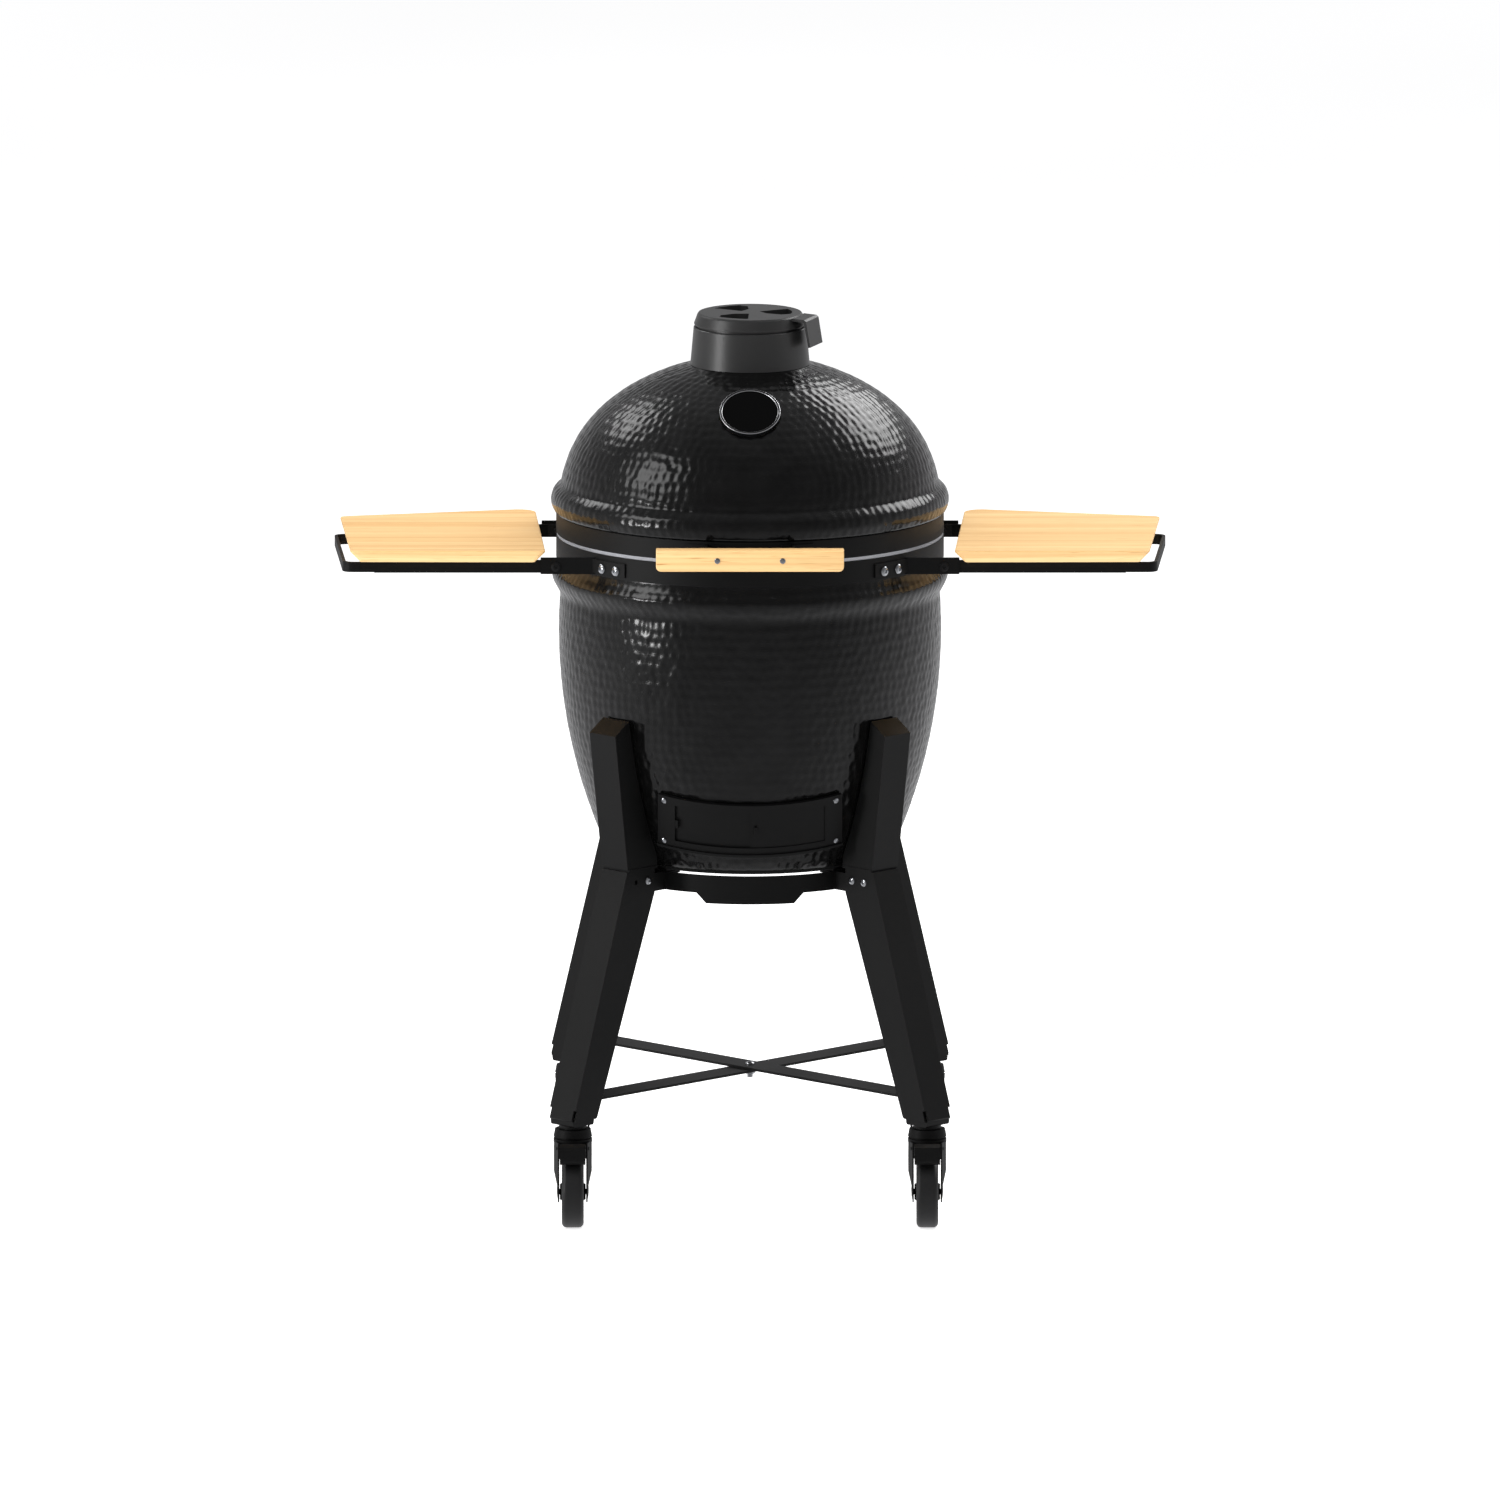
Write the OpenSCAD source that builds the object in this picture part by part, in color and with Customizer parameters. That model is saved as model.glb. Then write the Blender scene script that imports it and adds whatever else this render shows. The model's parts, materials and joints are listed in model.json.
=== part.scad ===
// Kamado grill on a four-legged caster frame, with two fold-down side shelves.
// Millimetres. Z is up, the floor is z = 0 and the Z axis is the axis of the egg.
// The front, with the handle and the draft doors, faces -Y.

/* [Egg] */
// Height of the seam between the base and the lid
seam_z = 920; // [915:1:925]
// Height of the underside of the ceramic base
foot_z = 473; // [470:1:476]
// Widest radius of the base wall
wall_max_r = 263; // [260:1:264]
// Height at which the base wall is widest
wall_mid_z = 785; // [780:1:790]
// Radius of the arc that the base wall follows
wall_arc_r = 735; // [720:1:750]
// Radius of the rounding round the foot of the base
foot_round = 30; // [24:1:34]
// Thickness of the ceramic wall
ceramic_t = 22; // [20:1:24]
// Radius of the lid dome at its root
dome_r = 266; // [264:1:267]
// Rise of the dome above its root
dome_h = 265; // [262:1:268]

/* [Bands] */
// Outer radius of the two steel bands
band_r = 266.4; // [266:0.1:268]
// Thickness of the band steel
band_t = 2.4; // [2:0.1:3]
// Thickness of each felt gasket
gasket_t = 2.3; // [2:0.1:3]

/* [Chimney] */
// Radius at the foot of the chimney
chimney_foot_r = 82; // [80:1:84]
// Radius at the top of the chimney
chimney_top_r = 77.5; // [76:0.5:79]
// Height of the top of the chimney body
chimney_z = 1209; // [1206:1:1212]
// Height of the rotating cap
cap_h = 16; // [14:1:18]
// Radius of the top face of the cap
cap_top_r = 70.8; // [70:0.1:74]

/* [Frame] */
// Radius from the axis to the outer face of a leg at its foot
leg_foot_r = 368; // [362:1:372]
// Radius from the axis to the outer face of a leg at the knee
leg_knee_r = 262; // [260:1:264]
// Height of the foot of a leg
leg_foot_z = 145; // [143:1:147]
// Height of the knee where the upper arm starts
knee_z = 483; // [481:1:485]
// Width of a leg
leg_w = 50; // [48:1:52]
// Thickness of the leg sheet
leg_t = 2.5; // [2:0.1:3]
// Outer radius of the support ring
ring_r = 188.5; // [187:0.5:190]
// Height of the support ring
ring_h = 25; // [23:1:26]

/* [Shelves] */
// Height of the top face of a shelf board
board_top_z = 925; // [922:1:927]
// Thickness of a shelf board
board_t = 18; // [16:1:18]
// Height of the fold axis of a shelf
fold_z = 898; // [896:1:899]
// Distance from the middle to the fold axis of a shelf
fold_x = 266; // [265:0.5:268]

/* [Casters] */
// Radius of a caster wheel
wheel_r = 49.3; // [48:0.1:50]
// Width of a caster wheel
wheel_w = 30; // [28:1:31]
// Distance of each caster stem from the middle, in X and in Y
caster_xy = 243; // [242:1:244]
// Distance of a wheel's axle behind its stem
caster_trail = 35; // [32:1:36]

/* [Hidden] */
$fn = 96;
slip = 0.05;
eps = 0.02;

// Egg
wall_cx = wall_max_r - wall_arc_r;
foot_round_z = foot_z + foot_round;
foot_round_r = wall_cx + sqrt(pow(wall_arc_r - foot_round, 2) - pow(wall_mid_z - foot_round_z, 2));
foot_angle = atan2(foot_round_z - wall_mid_z, foot_round_r - wall_cx);
neck_angle = 4.1;
seat_r = 262;
base_seat_z = seam_z - 0.1 - gasket_t;
lid_seat_z = seam_z + 0.1 + gasket_t;
base_band_low_z = 887;
lid_band_top_z = 950;
floor_z = foot_z + 30;
base_bead = [256, 862, 16];
lid_bead = [248.6, 966.5, 25];
dome_z = 900;
dome_power = 3;
dome_root = 1.8;
dome_start_z = 989;
neck_r = 60;
flue_r = 55;

// Inside the base
firebox_top_z = 720;
fire_ring_top_z = 870;
air_chamber_r = 108;
charcoal_grate_z = 548;

// Rear hinge
hinge_y = 300;
hinge_pin_r = 4;
knuckle_r = 9;
knuckle_w = 18;
web_start_y = 255;

// Draft doors slide round a cylinder that leans with the wall
draft_z = 545;
draft_tilt = 18;
draft_wall_r = wall_cx + sqrt(wall_arc_r * wall_arc_r - pow(wall_mid_z - draft_z, 2));
draft_axis_r = draft_wall_r / cos(draft_tilt);
draft_in_r = draft_axis_r + 2;
draft_out_r = draft_in_r + 5.6;
draft_half_h = 38.5;
draft_half_a = 31.5;
leaf_half_h = 32;
leaf_t = 1.3;
leaf_edge_a = 27.4;
screw_a = 29.2;
screw_h = 31;

// Cap
cap_gap = 0.5;
cap_z = chimney_z + cap_gap;
cap_top_z = cap_z + cap_h;
cap_pivot_r = 6;
groove_h = 3;
groove_r = 73;
lever_a = -20;
lever_half_w = 25;
lever_end = [97, 1185];

// Thermometer
thermo_pos = [0, -180.7, 1117.7];
thermo_tilt = 38;
bezel_r = 41.7;
bezel_in_r = 37.9;

// Handle
grip_half_w = 128.5;
grip_low_z = 916;
grip_high_z = 945;
grip_front_y = -305;
grip_back_y = -281;
handle_bolt_x = 44.7;
handle_bolt_z = 931;
bracket_half_w = 62;

// Shelves
rail_low_z = 889.5;
rail_high_z = 906.8;
rail_t = 4.5;
front_rail_y = -158;
back_rail_y = 140;
frame_out_front = [-558, -158];
frame_out_back = [-572, 70];
frame_kink_x = -292;
bevel = 13;
board_corners = [[-564, 96], [-547, -187], [-280, -190], [-296, 159]];
board_rounds = [10, 9, 9, 24];
cheek_t = 2.5;
cheek_out_x = -287;
bracket_bolt_angles = [41.1, 46.9];
bracket_bolt_r = 3;
bracket_bolt_z = 898;
tongue_end_a = 50.3;
pivot_r = 4;

// Legs: the side outline is drawn as [radius, height]
leg_depth_foot = 47;
leg_depth_knee = 52;
leg_knee_edge = 34;
foot_plate_t = 3;
cup_h = 8;
cup_in = 3;
notch = [12, 5, 16];
tab_r = 205;
tab_start_r = 155;
tab_half_w = 19;
tab_t = 3;
arm_inner_step = 30;
arm_foot_h = 12;
knee_plate_t = 3;
leg_slope = (leg_foot_r - leg_knee_r) / (knee_z - leg_foot_z);
arm_top_r = 286;
arm_top_z = 672;
arm_tip_z = 690;
ring_top_z = 472;
ring_bolt_z = 464;
ring_bolt_r = [223, 246];
ring_hole_r = 3.2;
apron_h = 14;
apron_half_w = 60.5;
pad_t = 3.5;
brace_z = 172.7;
brace_w = 42;
brace_t = 3.5;
brace_bolt_r = 5;

// Casters
stem_r = 6;
head_r = 26.5;
head_low_z = 113;
head_high_z = 131.5;
fork_in = 18.4;
fork_t = 2;
fork_shut_z = 88;
fork_back_r = 26.1;
flank_front_y = -27;
flank_boss_r = 15;
swivel_neck_r = 18.5;
stem_h = 56;
axle_r = 4;
pedal_half_w = 17.6;
pedal_pivot = [-20, 106.5];
pedal_pivot_r = 2.5;
pedal_pivot_half = 22.4;

// Points on an arc from angle a0 to a1
function arc(cx, cy, r, a0, a1, n) =
    [for (i = [0:n]) let (a = a0 + (a1 - a0) * i / n) [cx + r * cos(a), cy + r * sin(a)]];

// Radius of the ceramic base wall at height z
function wall_r(z) = wall_cx + sqrt(wall_arc_r * wall_arc_r - pow(wall_mid_z - z, 2));

// Radius of a dome of root radius r and rise h at height z
function dome_at(z, r, h) = r * pow(1 - pow((z - dome_z) / h, dome_power), 1 / dome_root);

// Height at which a dome has radius x
function dome_height(x, r, h) = dome_z + h * pow(1 - pow(x / r, dome_root), 1 / dome_power);

// Vector v at a length of one
function unit(v) = v / norm(v);

// Arc of radius r and n steps that rounds the corner q between its neighbours p and s
function corner(p, q, s, r, n) =
    let (
        u = unit(p - q),
        v = unit(s - q),
        half = acos(u * v) / 2,
        mid = q + unit(u + v) * r / sin(half),
        from = q + u * r / tan(half) - mid,
        to = q + v * r / tan(half) - mid,
        a0 = atan2(from[1], from[0]),
        turn = (atan2(to[1], to[0]) - a0 + 540) % 360 - 180
    )
    arc(mid[0], mid[1], r, a0, a0 + turn, n);

// Points of a closed outline with each corner rounded to its own radius
function rounded(pts, radii, n = 8) =
    [for (i = [0:len(pts) - 1])
        each corner(pts[(i + len(pts) - 1) % len(pts)], pts[i], pts[(i + 1) % len(pts)], radii[i], n)];

// Outline moved inwards by d along its bisectors, for a convex outline
function inset(pts, d) =
    [for (i = [0:len(pts) - 1])
        let (
            q = pts[i],
            u = unit(pts[(i + len(pts) - 1) % len(pts)] - q),
            v = unit(pts[(i + 1) % len(pts)] - q)
        )
        q + unit(u + v) * d / sin(acos(u * v) / 2)];

// A ring between two radii and two heights
module ring_band(r_in, r_out, z_low, z_high) {
    rotate_extrude()
        translate([r_in, z_low])
            square([r_out - r_in, z_high - z_low]);
}

// Part of a ring, from angle a0 to angle a1
module ring_sector(r_in, r_out, z_low, z_high, a0, a1) {
    rotate([0, 0, a0])
        rotate_extrude(angle = a1 - a0)
            translate([r_in, z_low])
                square([r_out - r_in, z_high - z_low]);
}

// A solid between two heights, from a flat outline
module slab(z_low, z_high) {
    translate([0, 0, z_low])
        linear_extrude(z_high - z_low)
            children();
}

// A domed bolt head on +Z with a hexagon socket and a shank on -Z
module domed_bolt(head_r, head_h, shank_r, shank_l) {
    difference() {
        rotate_extrude()
            polygon(concat(
                [[0, -shank_l], [shank_r, -shank_l], [shank_r, 0], [head_r, 0]],
                [for (i = [0:6]) let (a = 90 * i / 6) [head_r * cos(a), 0.8 + (head_h - 0.8) * sin(a)]]
            ));
        translate([0, 0, head_h * 0.45])
            cylinder(r = head_r * 0.42, h = head_h, $fn = 6);
    }
}

// Places its children on each leg: +X points out along the leg's radius
module at_leg(side, end) {
    rotate([0, 0, atan2(end, side)])
        children();
}

module base_shell() {
    color("#141414")
    difference() {
        rotate_extrude()
            polygon(concat(
                [[0, foot_z]],
                arc(foot_round_r, foot_round_z, foot_round, -90, foot_angle, 8),
                arc(wall_cx, wall_mid_z, wall_arc_r, foot_angle + 2, neck_angle, 16),
                arc(base_bead[0], base_bead[1], base_bead[2], -35, 50, 8),
                [[seat_r + 1, base_band_low_z - 4], [seat_r, base_band_low_z - 1]],
                [[seat_r, base_seat_z], [wall_max_r - ceramic_t, base_seat_z]],
                [for (z = [wall_mid_z:-28:floor_z + 20]) [wall_r(z) - ceramic_t, z]],
                [[wall_r(floor_z) - ceramic_t - 14, floor_z], [0, floor_z]]
            ));
        at_draft()
            translate([-80, -20, -22])
                cube([160, 80, 44]);
    }
}

module firebox() {
    color("#8a7a66")
    difference() {
        rotate_extrude()
            polygon([
                [0, floor_z + 1], [158, floor_z + 1], [168, floor_z + 10], [198, 620], [220, firebox_top_z],
                [199, firebox_top_z], [178, 620], [150, charcoal_grate_z + 8], [132, charcoal_grate_z + 8],
                [132, charcoal_grate_z], [0, charcoal_grate_z]
            ]);
        translate([0, 0, floor_z - 1])
            cylinder(r = air_chamber_r, h = 60);
        translate([-50, -210, floor_z + 1 + 10])
            cube([100, 150, 26]);
        for (a = [0:45:315])
            rotate([0, 0, a + 22.5])
                translate([0, 0, 650])
                    rotate([0, 90, 0])
                        cylinder(r = 9, h = 260);
    }
}

module fire_ring() {
    color("#8a7a66")
    rotate_extrude()
        polygon([
            [200, firebox_top_z + 0.2], [221, firebox_top_z + 0.2], [228, firebox_top_z + 30],
            [228, fire_ring_top_z - 4], [224, fire_ring_top_z], [208, fire_ring_top_z],
            [206, firebox_top_z + 40]
        ]);
}

module charcoal_grate() {
    color("#3a3a3c")
    difference() {
        translate([0, 0, charcoal_grate_z + 0.2])
            cylinder(r = 130, h = 8);
        for (i = [1:4])
            for (a = [0:360 / (6 * i):359])
                rotate([0, 0, a])
                    translate([27 * i, 0, charcoal_grate_z - 1])
                        cylinder(r = 6.5, h = 12, $fn = 24);
    }
}

module cooking_grate() {
    grate_r = 222;
    rod_r = 2.5;
    rod_z = fire_ring_top_z + 10;
    color("#b8b8ba") {
        translate([0, 0, rod_z])
            rotate_extrude()
                translate([grate_r, 0])
                    circle(r = 4);
        for (i = [-9:9])
            let (half = sqrt(grate_r * grate_r - 484 * i * i))
            translate([22 * i, -half, rod_z])
                rotate([-90, 0, 0])
                    cylinder(r = rod_r, h = 2 * half, $fn = 24);
        for (y = [-110, 110])
            let (half = sqrt(grate_r * grate_r - y * y))
            translate([-half, y, rod_z - 3])
                rotate([0, 90, 0])
                    cylinder(r = 3, h = 2 * half, $fn = 24);
        for (a = [45:90:315])
            rotate([0, 0, a])
                translate([grate_r - 4, 0, fire_ring_top_z + 0.2])
                    cylinder(r = 4, h = 8, $fn = 24);
    }
}

module lower_band() {
    color("#1b1b1c")
    ring_band(band_r - band_t, band_r, base_band_low_z, base_seat_z);
}

module upper_band() {
    color("#1b1b1c")
    ring_band(band_r - band_t, band_r, lid_seat_z, lid_band_top_z);
}

module base_gasket() {
    color("#a9a9b2")
    ring_band(wall_max_r - ceramic_t + 1, band_r - 1, base_seat_z, base_seat_z + gasket_t);
}

module lid_gasket() {
    color("#a9a9b2")
    ring_band(wall_max_r - ceramic_t + 1, band_r - 1, lid_seat_z - gasket_t, lid_seat_z);
}

module lid_shell() {
    inner_r = dome_r - ceramic_t - 2;
    inner_h = dome_h - ceramic_t;
    top_z = dome_height(neck_r, dome_r, dome_h);
    color("#141414")
    difference() {
        rotate_extrude()
            polygon(concat(
                [[inner_r, lid_seat_z], [seat_r, lid_seat_z], [seat_r, lid_band_top_z + 0.2]],
                arc(lid_bead[0], lid_bead[1], lid_bead[2], -37, 44, 10),
                [for (i = [0:22])
                    let (x = dome_at(dome_start_z, dome_r, dome_h) * (1 - pow(i / 22, 1.5))
                        + neck_r * pow(i / 22, 1.5))
                    [x, dome_height(x, dome_r, dome_h)]],
                [[flue_r, top_z], [flue_r, dome_height(flue_r, inner_r, inner_h)]],
                [for (i = [15:-1:1])
                    let (x = (inner_r - 2) * (1 - pow(i / 18, 1.5)))
                    [x, dome_height(x, inner_r, inner_h)]]
            ));
        at_thermometer() {
            translate([0, 0, -14.5])
                cylinder(r = bezel_r + 0.4, h = 60);
            translate([0, 0, -60])
                cylinder(r = 6, h = 60);
        }
    }
}

module chimney_body() {
    foot = dome_height(chimney_foot_r, dome_r, dome_h) + 0.4;
    color("#3b3c3e") {
        rotate_extrude()
            polygon([
                [chimney_foot_r, foot], [chimney_top_r, chimney_z - groove_h - 1],
                [chimney_top_r - 1, chimney_z - groove_h],
                [groove_r, chimney_z - groove_h], [groove_r, chimney_z],
                [flue_r + 3, chimney_z], [flue_r + 3, dome_height(flue_r + 3, dome_r, dome_h) + 0.6],
                [neck_r + 6, dome_height(neck_r + 6, dome_r, dome_h) + 0.5]
            ]);
        difference() {
            translate([0, 0, chimney_z - 4])
                cylinder(r = flue_r + 3 + eps, h = 4);
            for (a = [0:120:240])
                rotate([0, 0, a])
                    slab(chimney_z - 6, chimney_z + 2)
                        pinwheel_opening(54);
            translate([0, 0, chimney_z - 6])
                cylinder(r = cap_pivot_r, h = 8);
        }
    }
}

// One opening of the pinwheel: a straight radial edge that tapers round to a point
module pinwheel_opening(out_r) {
    polygon(concat(
        [[-1.5, -14], [-21, -14], [-40, -26.5]],
        [for (i = [1:9]) let (a = -142 + 49.5 * i / 9) [out_r * cos(a), out_r * sin(a)]]
    ));
}

module cap_pivot() {
    color("#c2c2c4")
    translate([0, 0, chimney_z - 9]) {
        cylinder(r = cap_pivot_r, h = 16);
        cylinder(r = cap_pivot_r + 4, h = 4.5);
    }
}

module vent_cap() {
    low_r = chimney_top_r - 0.7;
    color("#3b3c3e") {
        difference() {
            rotate_extrude()
                polygon([
                    [0, cap_z], [low_r, cap_z], [low_r, cap_z + 1.5], [cap_top_r + 1.5, cap_top_z - 2.4],
                    [cap_top_r, cap_top_z - 0.4], [cap_top_r - 1.5, cap_top_z], [0, cap_top_z]
                ]);
            for (a = [0:120:240])
                rotate([0, 0, a])
                    slab(cap_z - 1, cap_top_z + 1)
                        pinwheel_opening(58);
            translate([0, 0, cap_z - 1])
                cylinder(r = cap_pivot_r + slip, h = 9);
        }
        rotate([0, 0, lever_a])
            rotate([90, 0, 0])
                translate([0, 0, -lever_half_w])
                    linear_extrude(2 * lever_half_w)
                        polygon([
                            [66, cap_top_z - 4.5], [70, cap_top_z - 1.5], [88, cap_top_z - 2.6],
                            [91, cap_top_z - 5], lever_end, lever_end - [3, 0.5], [87.5, cap_top_z - 6.8]
                        ]);
    }
}

module at_thermometer() {
    translate(thermo_pos)
        rotate([thermo_tilt, 0, 0])
            children();
}

module thermometer_bezel() {
    color("#0c0c0c")
    at_thermometer()
        difference() {
            rotate_extrude()
                polygon(concat(
                    [[30, -14], [bezel_r - 1, -14], [bezel_r, -13]],
                    arc(bezel_r - 1.8, -1.8, 1.8, 0, 90, 4),
                    [[bezel_in_r + 1, 0], [bezel_in_r, -0.8], [bezel_in_r, -9], [30, -9]]
                ));
        }
}

module thermometer_dial() {
    color("#0a0a0a")
    at_thermometer() {
        translate([0, 0, -9])
            cylinder(r = bezel_in_r - 0.2, h = 3);
        translate([0, 0, -14])
            cylinder(r = 29.5, h = 5 + eps);
        translate([0, 0, -75])
            cylinder(r = 3, h = 65);
    }
}

module thermometer_glass() {
    color("#101012")
    at_thermometer()
        translate([0, 0, -3.5])
            cylinder(r = bezel_in_r - 0.1, h = 1.6);
}

module handle_grip() {
    color("#e6c48c")
    difference() {
        translate([0, grip_back_y, 0])
            rotate([90, 0, 0])
                linear_extrude(grip_back_y - grip_front_y)
                    polygon(rounded(
                        [
                            [-grip_half_w, grip_high_z], [-grip_half_w, grip_low_z],
                            [grip_half_w, grip_low_z], [grip_half_w, grip_high_z]
                        ],
                        [2, 7, 7, 2]
                    ));
        for (x = [-handle_bolt_x, handle_bolt_x])
            translate([x, 0, handle_bolt_z])
                rotate([90, 0, 0])
                    cylinder(r = 3.1, h = 400);
    }
}

module handle_bracket() {
    arm_t = 4;
    color("#1b1b1c")
    difference() {
        union() {
            translate([-bracket_half_w, grip_back_y, 921])
                cube([2 * bracket_half_w, 2.5, 20]);
            for (s = [-1, 1]) {
                translate([s * bracket_half_w - (s > 0 ? arm_t : 0), grip_back_y, 925])
                    cube([arm_t, 22, 22]);
                rotate([0, 0, -90])
                    ring_sector(band_r + 0.1, band_r + 2.6, 926, 946, s * 9.2, s * 19);
            }
        }
        for (x = [-handle_bolt_x, handle_bolt_x])
            translate([x, 0, handle_bolt_z])
                rotate([90, 0, 0])
                    cylinder(r = 3.1, h = 400);
        for (s = [-1, 1])
            rotate([0, 0, -90 + s * 16.5])
                translate([band_r - 10, 0, 936])
                    rotate([0, 90, 0])
                        cylinder(r = 2.55, h = 30);
        ring_band(0.1, band_r + 0.1, 900, 960);
    }
}

module handle_bolts() {
    color("#9a9aa0") {
        for (x = [-handle_bolt_x, handle_bolt_x])
            translate([x, grip_front_y, handle_bolt_z])
                rotate([90, 0, 0])
                    domed_bolt(3.9, 2.2, 3, 26);
        for (s = [-1, 1])
            rotate([0, 0, -90 + s * 16.5])
                translate([band_r + 2.6, 0, 936])
                    rotate([0, 90, 0])
                        domed_bolt(4.5, 2.5, 2.5, 2);
    }
}

// Local frame of the draft: origin on the wall, Z up the slope, -Y outwards
module at_draft() {
    translate([0, -draft_wall_r, draft_z])
        rotate([draft_tilt, 0, 0])
            children();
}

// Part of a cylinder round the draft axis; angle 0 is the middle of the front
module draft_sector(r_in, r_out, half_h, a0, a1) {
    at_draft()
        translate([0, draft_axis_r, 0])
            rotate([0, 0, -90])
                ring_sector(r_in, r_out, -half_h, half_h, a0, a1);
}

module draft_frame() {
    slot_in = draft_in_r + 0.9;
    slot_out = draft_out_r - 1;
    color("#161617")
    difference() {
        union() {
            draft_sector(draft_in_r, draft_out_r, draft_half_h, -draft_half_a, draft_half_a);
            at_draft()
                translate([0, draft_axis_r, -draft_half_h])
                    rotate([0, 0, -90])
                        ring_sector(draft_in_r, draft_out_r + 2.5, -1.5, 2, -draft_half_a, draft_half_a);
        }
        draft_sector(draft_in_r - 1, draft_out_r + 4, 27, -25.2, 25.2);
        draft_sector(slot_in, slot_out, leaf_half_h + 0.4, -leaf_edge_a - 0.5, leaf_edge_a + 0.5);
        for (a = [-screw_a, screw_a])
            for (z = [-screw_h, screw_h])
                at_draft()
                    translate([0, draft_axis_r, z])
                        rotate([0, 0, a])
                            rotate([90, 0, 0])
                                cylinder(r = 2.1, h = 300);
    }
}

// Both leaves carry a small pull near their left edge
module draft_leaf(r_in, a0, a1, pull_a) {
    color("#1c1c1e") {
        draft_sector(r_in, r_in + leaf_t, leaf_half_h, a0, a1);
        at_draft()
            translate([0, draft_axis_r, 0])
                rotate([0, 0, -90])
                    ring_sector(r_in + leaf_t - eps, draft_out_r + 2.2, -6, 6, pull_a - 0.45, pull_a + 0.45);
    }
}

module draft_door_left() {
    draft_leaf(draft_in_r + 1.1, -leaf_edge_a, 0.6, -24.4);
}

module draft_door_right() {
    draft_leaf(draft_in_r + 2.9, 0.1, leaf_edge_a, 1.9);
}

module draft_screws() {
    color("#c9c9cc")
    for (a = [-screw_a, screw_a])
        for (z = [-screw_h, screw_h])
            at_draft()
                translate([0, draft_axis_r, z])
                    rotate([0, 0, a])
                        translate([0, -draft_out_r, 0])
                            rotate([90, 0, 0])
                                domed_bolt(4.2, 2.4, 2, 6);
}

// Knuckles of the rear hinge: the base holds the outer pair, the lid the inner pair
module hinge_half(knuckle_x, bore_r, plate_low, plate_high, web_low, web_high) {
    color("#1b1b1c")
    difference() {
        union() {
            rotate([0, 0, 90])
                ring_sector(band_r + 0.1, band_r + 4, plate_low, plate_high, -17, 17);
            for (s = [-1, 1]) {
                translate([s * knuckle_x - knuckle_w / 2, web_start_y, web_low])
                    cube([knuckle_w, hinge_y - web_start_y, web_high - web_low]);
                translate([s * knuckle_x - knuckle_w / 2, hinge_y, seam_z])
                    rotate([0, 90, 0])
                        cylinder(r = knuckle_r, h = knuckle_w);
            }
        }
        ring_band(0.1, band_r + 0.1, 860, 980);
        translate([-100, hinge_y, seam_z])
            rotate([0, 90, 0])
                cylinder(r = bore_r, h = 200);
    }
}

module hinge_base() {
    hinge_half(46, hinge_pin_r, base_band_low_z + 2, base_seat_z - 2, seam_z - 8.5, seam_z - 2);
}

module hinge_lid() {
    hinge_half(21, hinge_pin_r + slip, lid_seat_z + 2, lid_band_top_z - 2, seam_z + 2, seam_z + 8.5);
}

module hinge_pin() {
    color("#b4b4b8") {
        translate([-74, hinge_y, seam_z])
            rotate([0, 90, 0])
                cylinder(r = hinge_pin_r, h = 148);
        for (x = [-78, 74])
            translate([x, hinge_y, seam_z])
                rotate([0, 90, 0])
                    cylinder(r = 7.5, h = 4);
    }
}

module hinge_springs() {
    wire_r = 1.3;
    color("#8e8e92")
    for (s = [-1, 1]) {
        for (i = [0:6])
            translate([s * (57.5 + 2.4 * i), hinge_y, seam_z])
                rotate([0, 90, 0])
                    rotate_extrude()
                        translate([hinge_pin_r + 0.4 + wire_r, 0])
                            circle(r = wire_r, $fn = 20);
        translate([s * 57.5, hinge_y, seam_z - hinge_pin_r - 0.4 - wire_r])
            rotate([90, 0, 0])
                cylinder(r = wire_r, h = 26, $fn = 20);
    }
}

// Front and rear brackets of the left shelf: a flat cheek with a tongue along the band
module shelf_bracket_pair() {
    low_z = 888;
    high_z = 911;
    tongue_in = band_r + 0.1;
    tongue_out = tongue_in + cheek_t;
    color("#1b1b1c")
    for (end = [-1, 1]) {
        rail_y = end < 0 ? front_rail_y : back_rail_y;
        start_a = atan2(abs(rail_y), sqrt(tongue_in * tongue_in - rail_y * rail_y));
        cheek_y = rail_y + end * 0.4 + (end < 0 ? -cheek_t : 0);
        difference() {
            union() {
                translate([cheek_out_x, cheek_y, low_z])
                    cube([-cheek_out_x - 205, cheek_t, high_z - low_z]);
                rotate([0, 0, 180 - end * start_a])
                    ring_sector(
                        tongue_in, tongue_out, 890.5, 909.5,
                        min(0, end * (start_a - tongue_end_a)), max(0, end * (start_a - tongue_end_a))
                    );
            }
            ring_band(0.1, tongue_in, 860, 930);
            translate([-fold_x, rail_y + 40, fold_z])
                rotate([90, 0, 0])
                    cylinder(r = pivot_r, h = 80);
            for (a = bracket_bolt_angles)
                rotate([0, 0, 180 - end * a])
                    translate([band_r - 10, 0, bracket_bolt_z])
                        rotate([0, 90, 0])
                            cylinder(r = bracket_bolt_r + 0.05, h = 30);
        }
    }
}

module shelf_brackets_left() {
    shelf_bracket_pair();
}

module shelf_brackets_right() {
    mirror([1, 0, 0])
        shelf_bracket_pair();
}

// Outline of the frame bar seen from above, d further in than its outer face
function frame_path(d) = [
    [-fold_x + 14, front_rail_y + d], [frame_out_front[0] + d, front_rail_y + d],
    [frame_out_back[0] + d, frame_out_back[1] - d], [frame_kink_x, back_rail_y - d - 4],
    [-fold_x + 14, back_rail_y - d]
];

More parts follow.
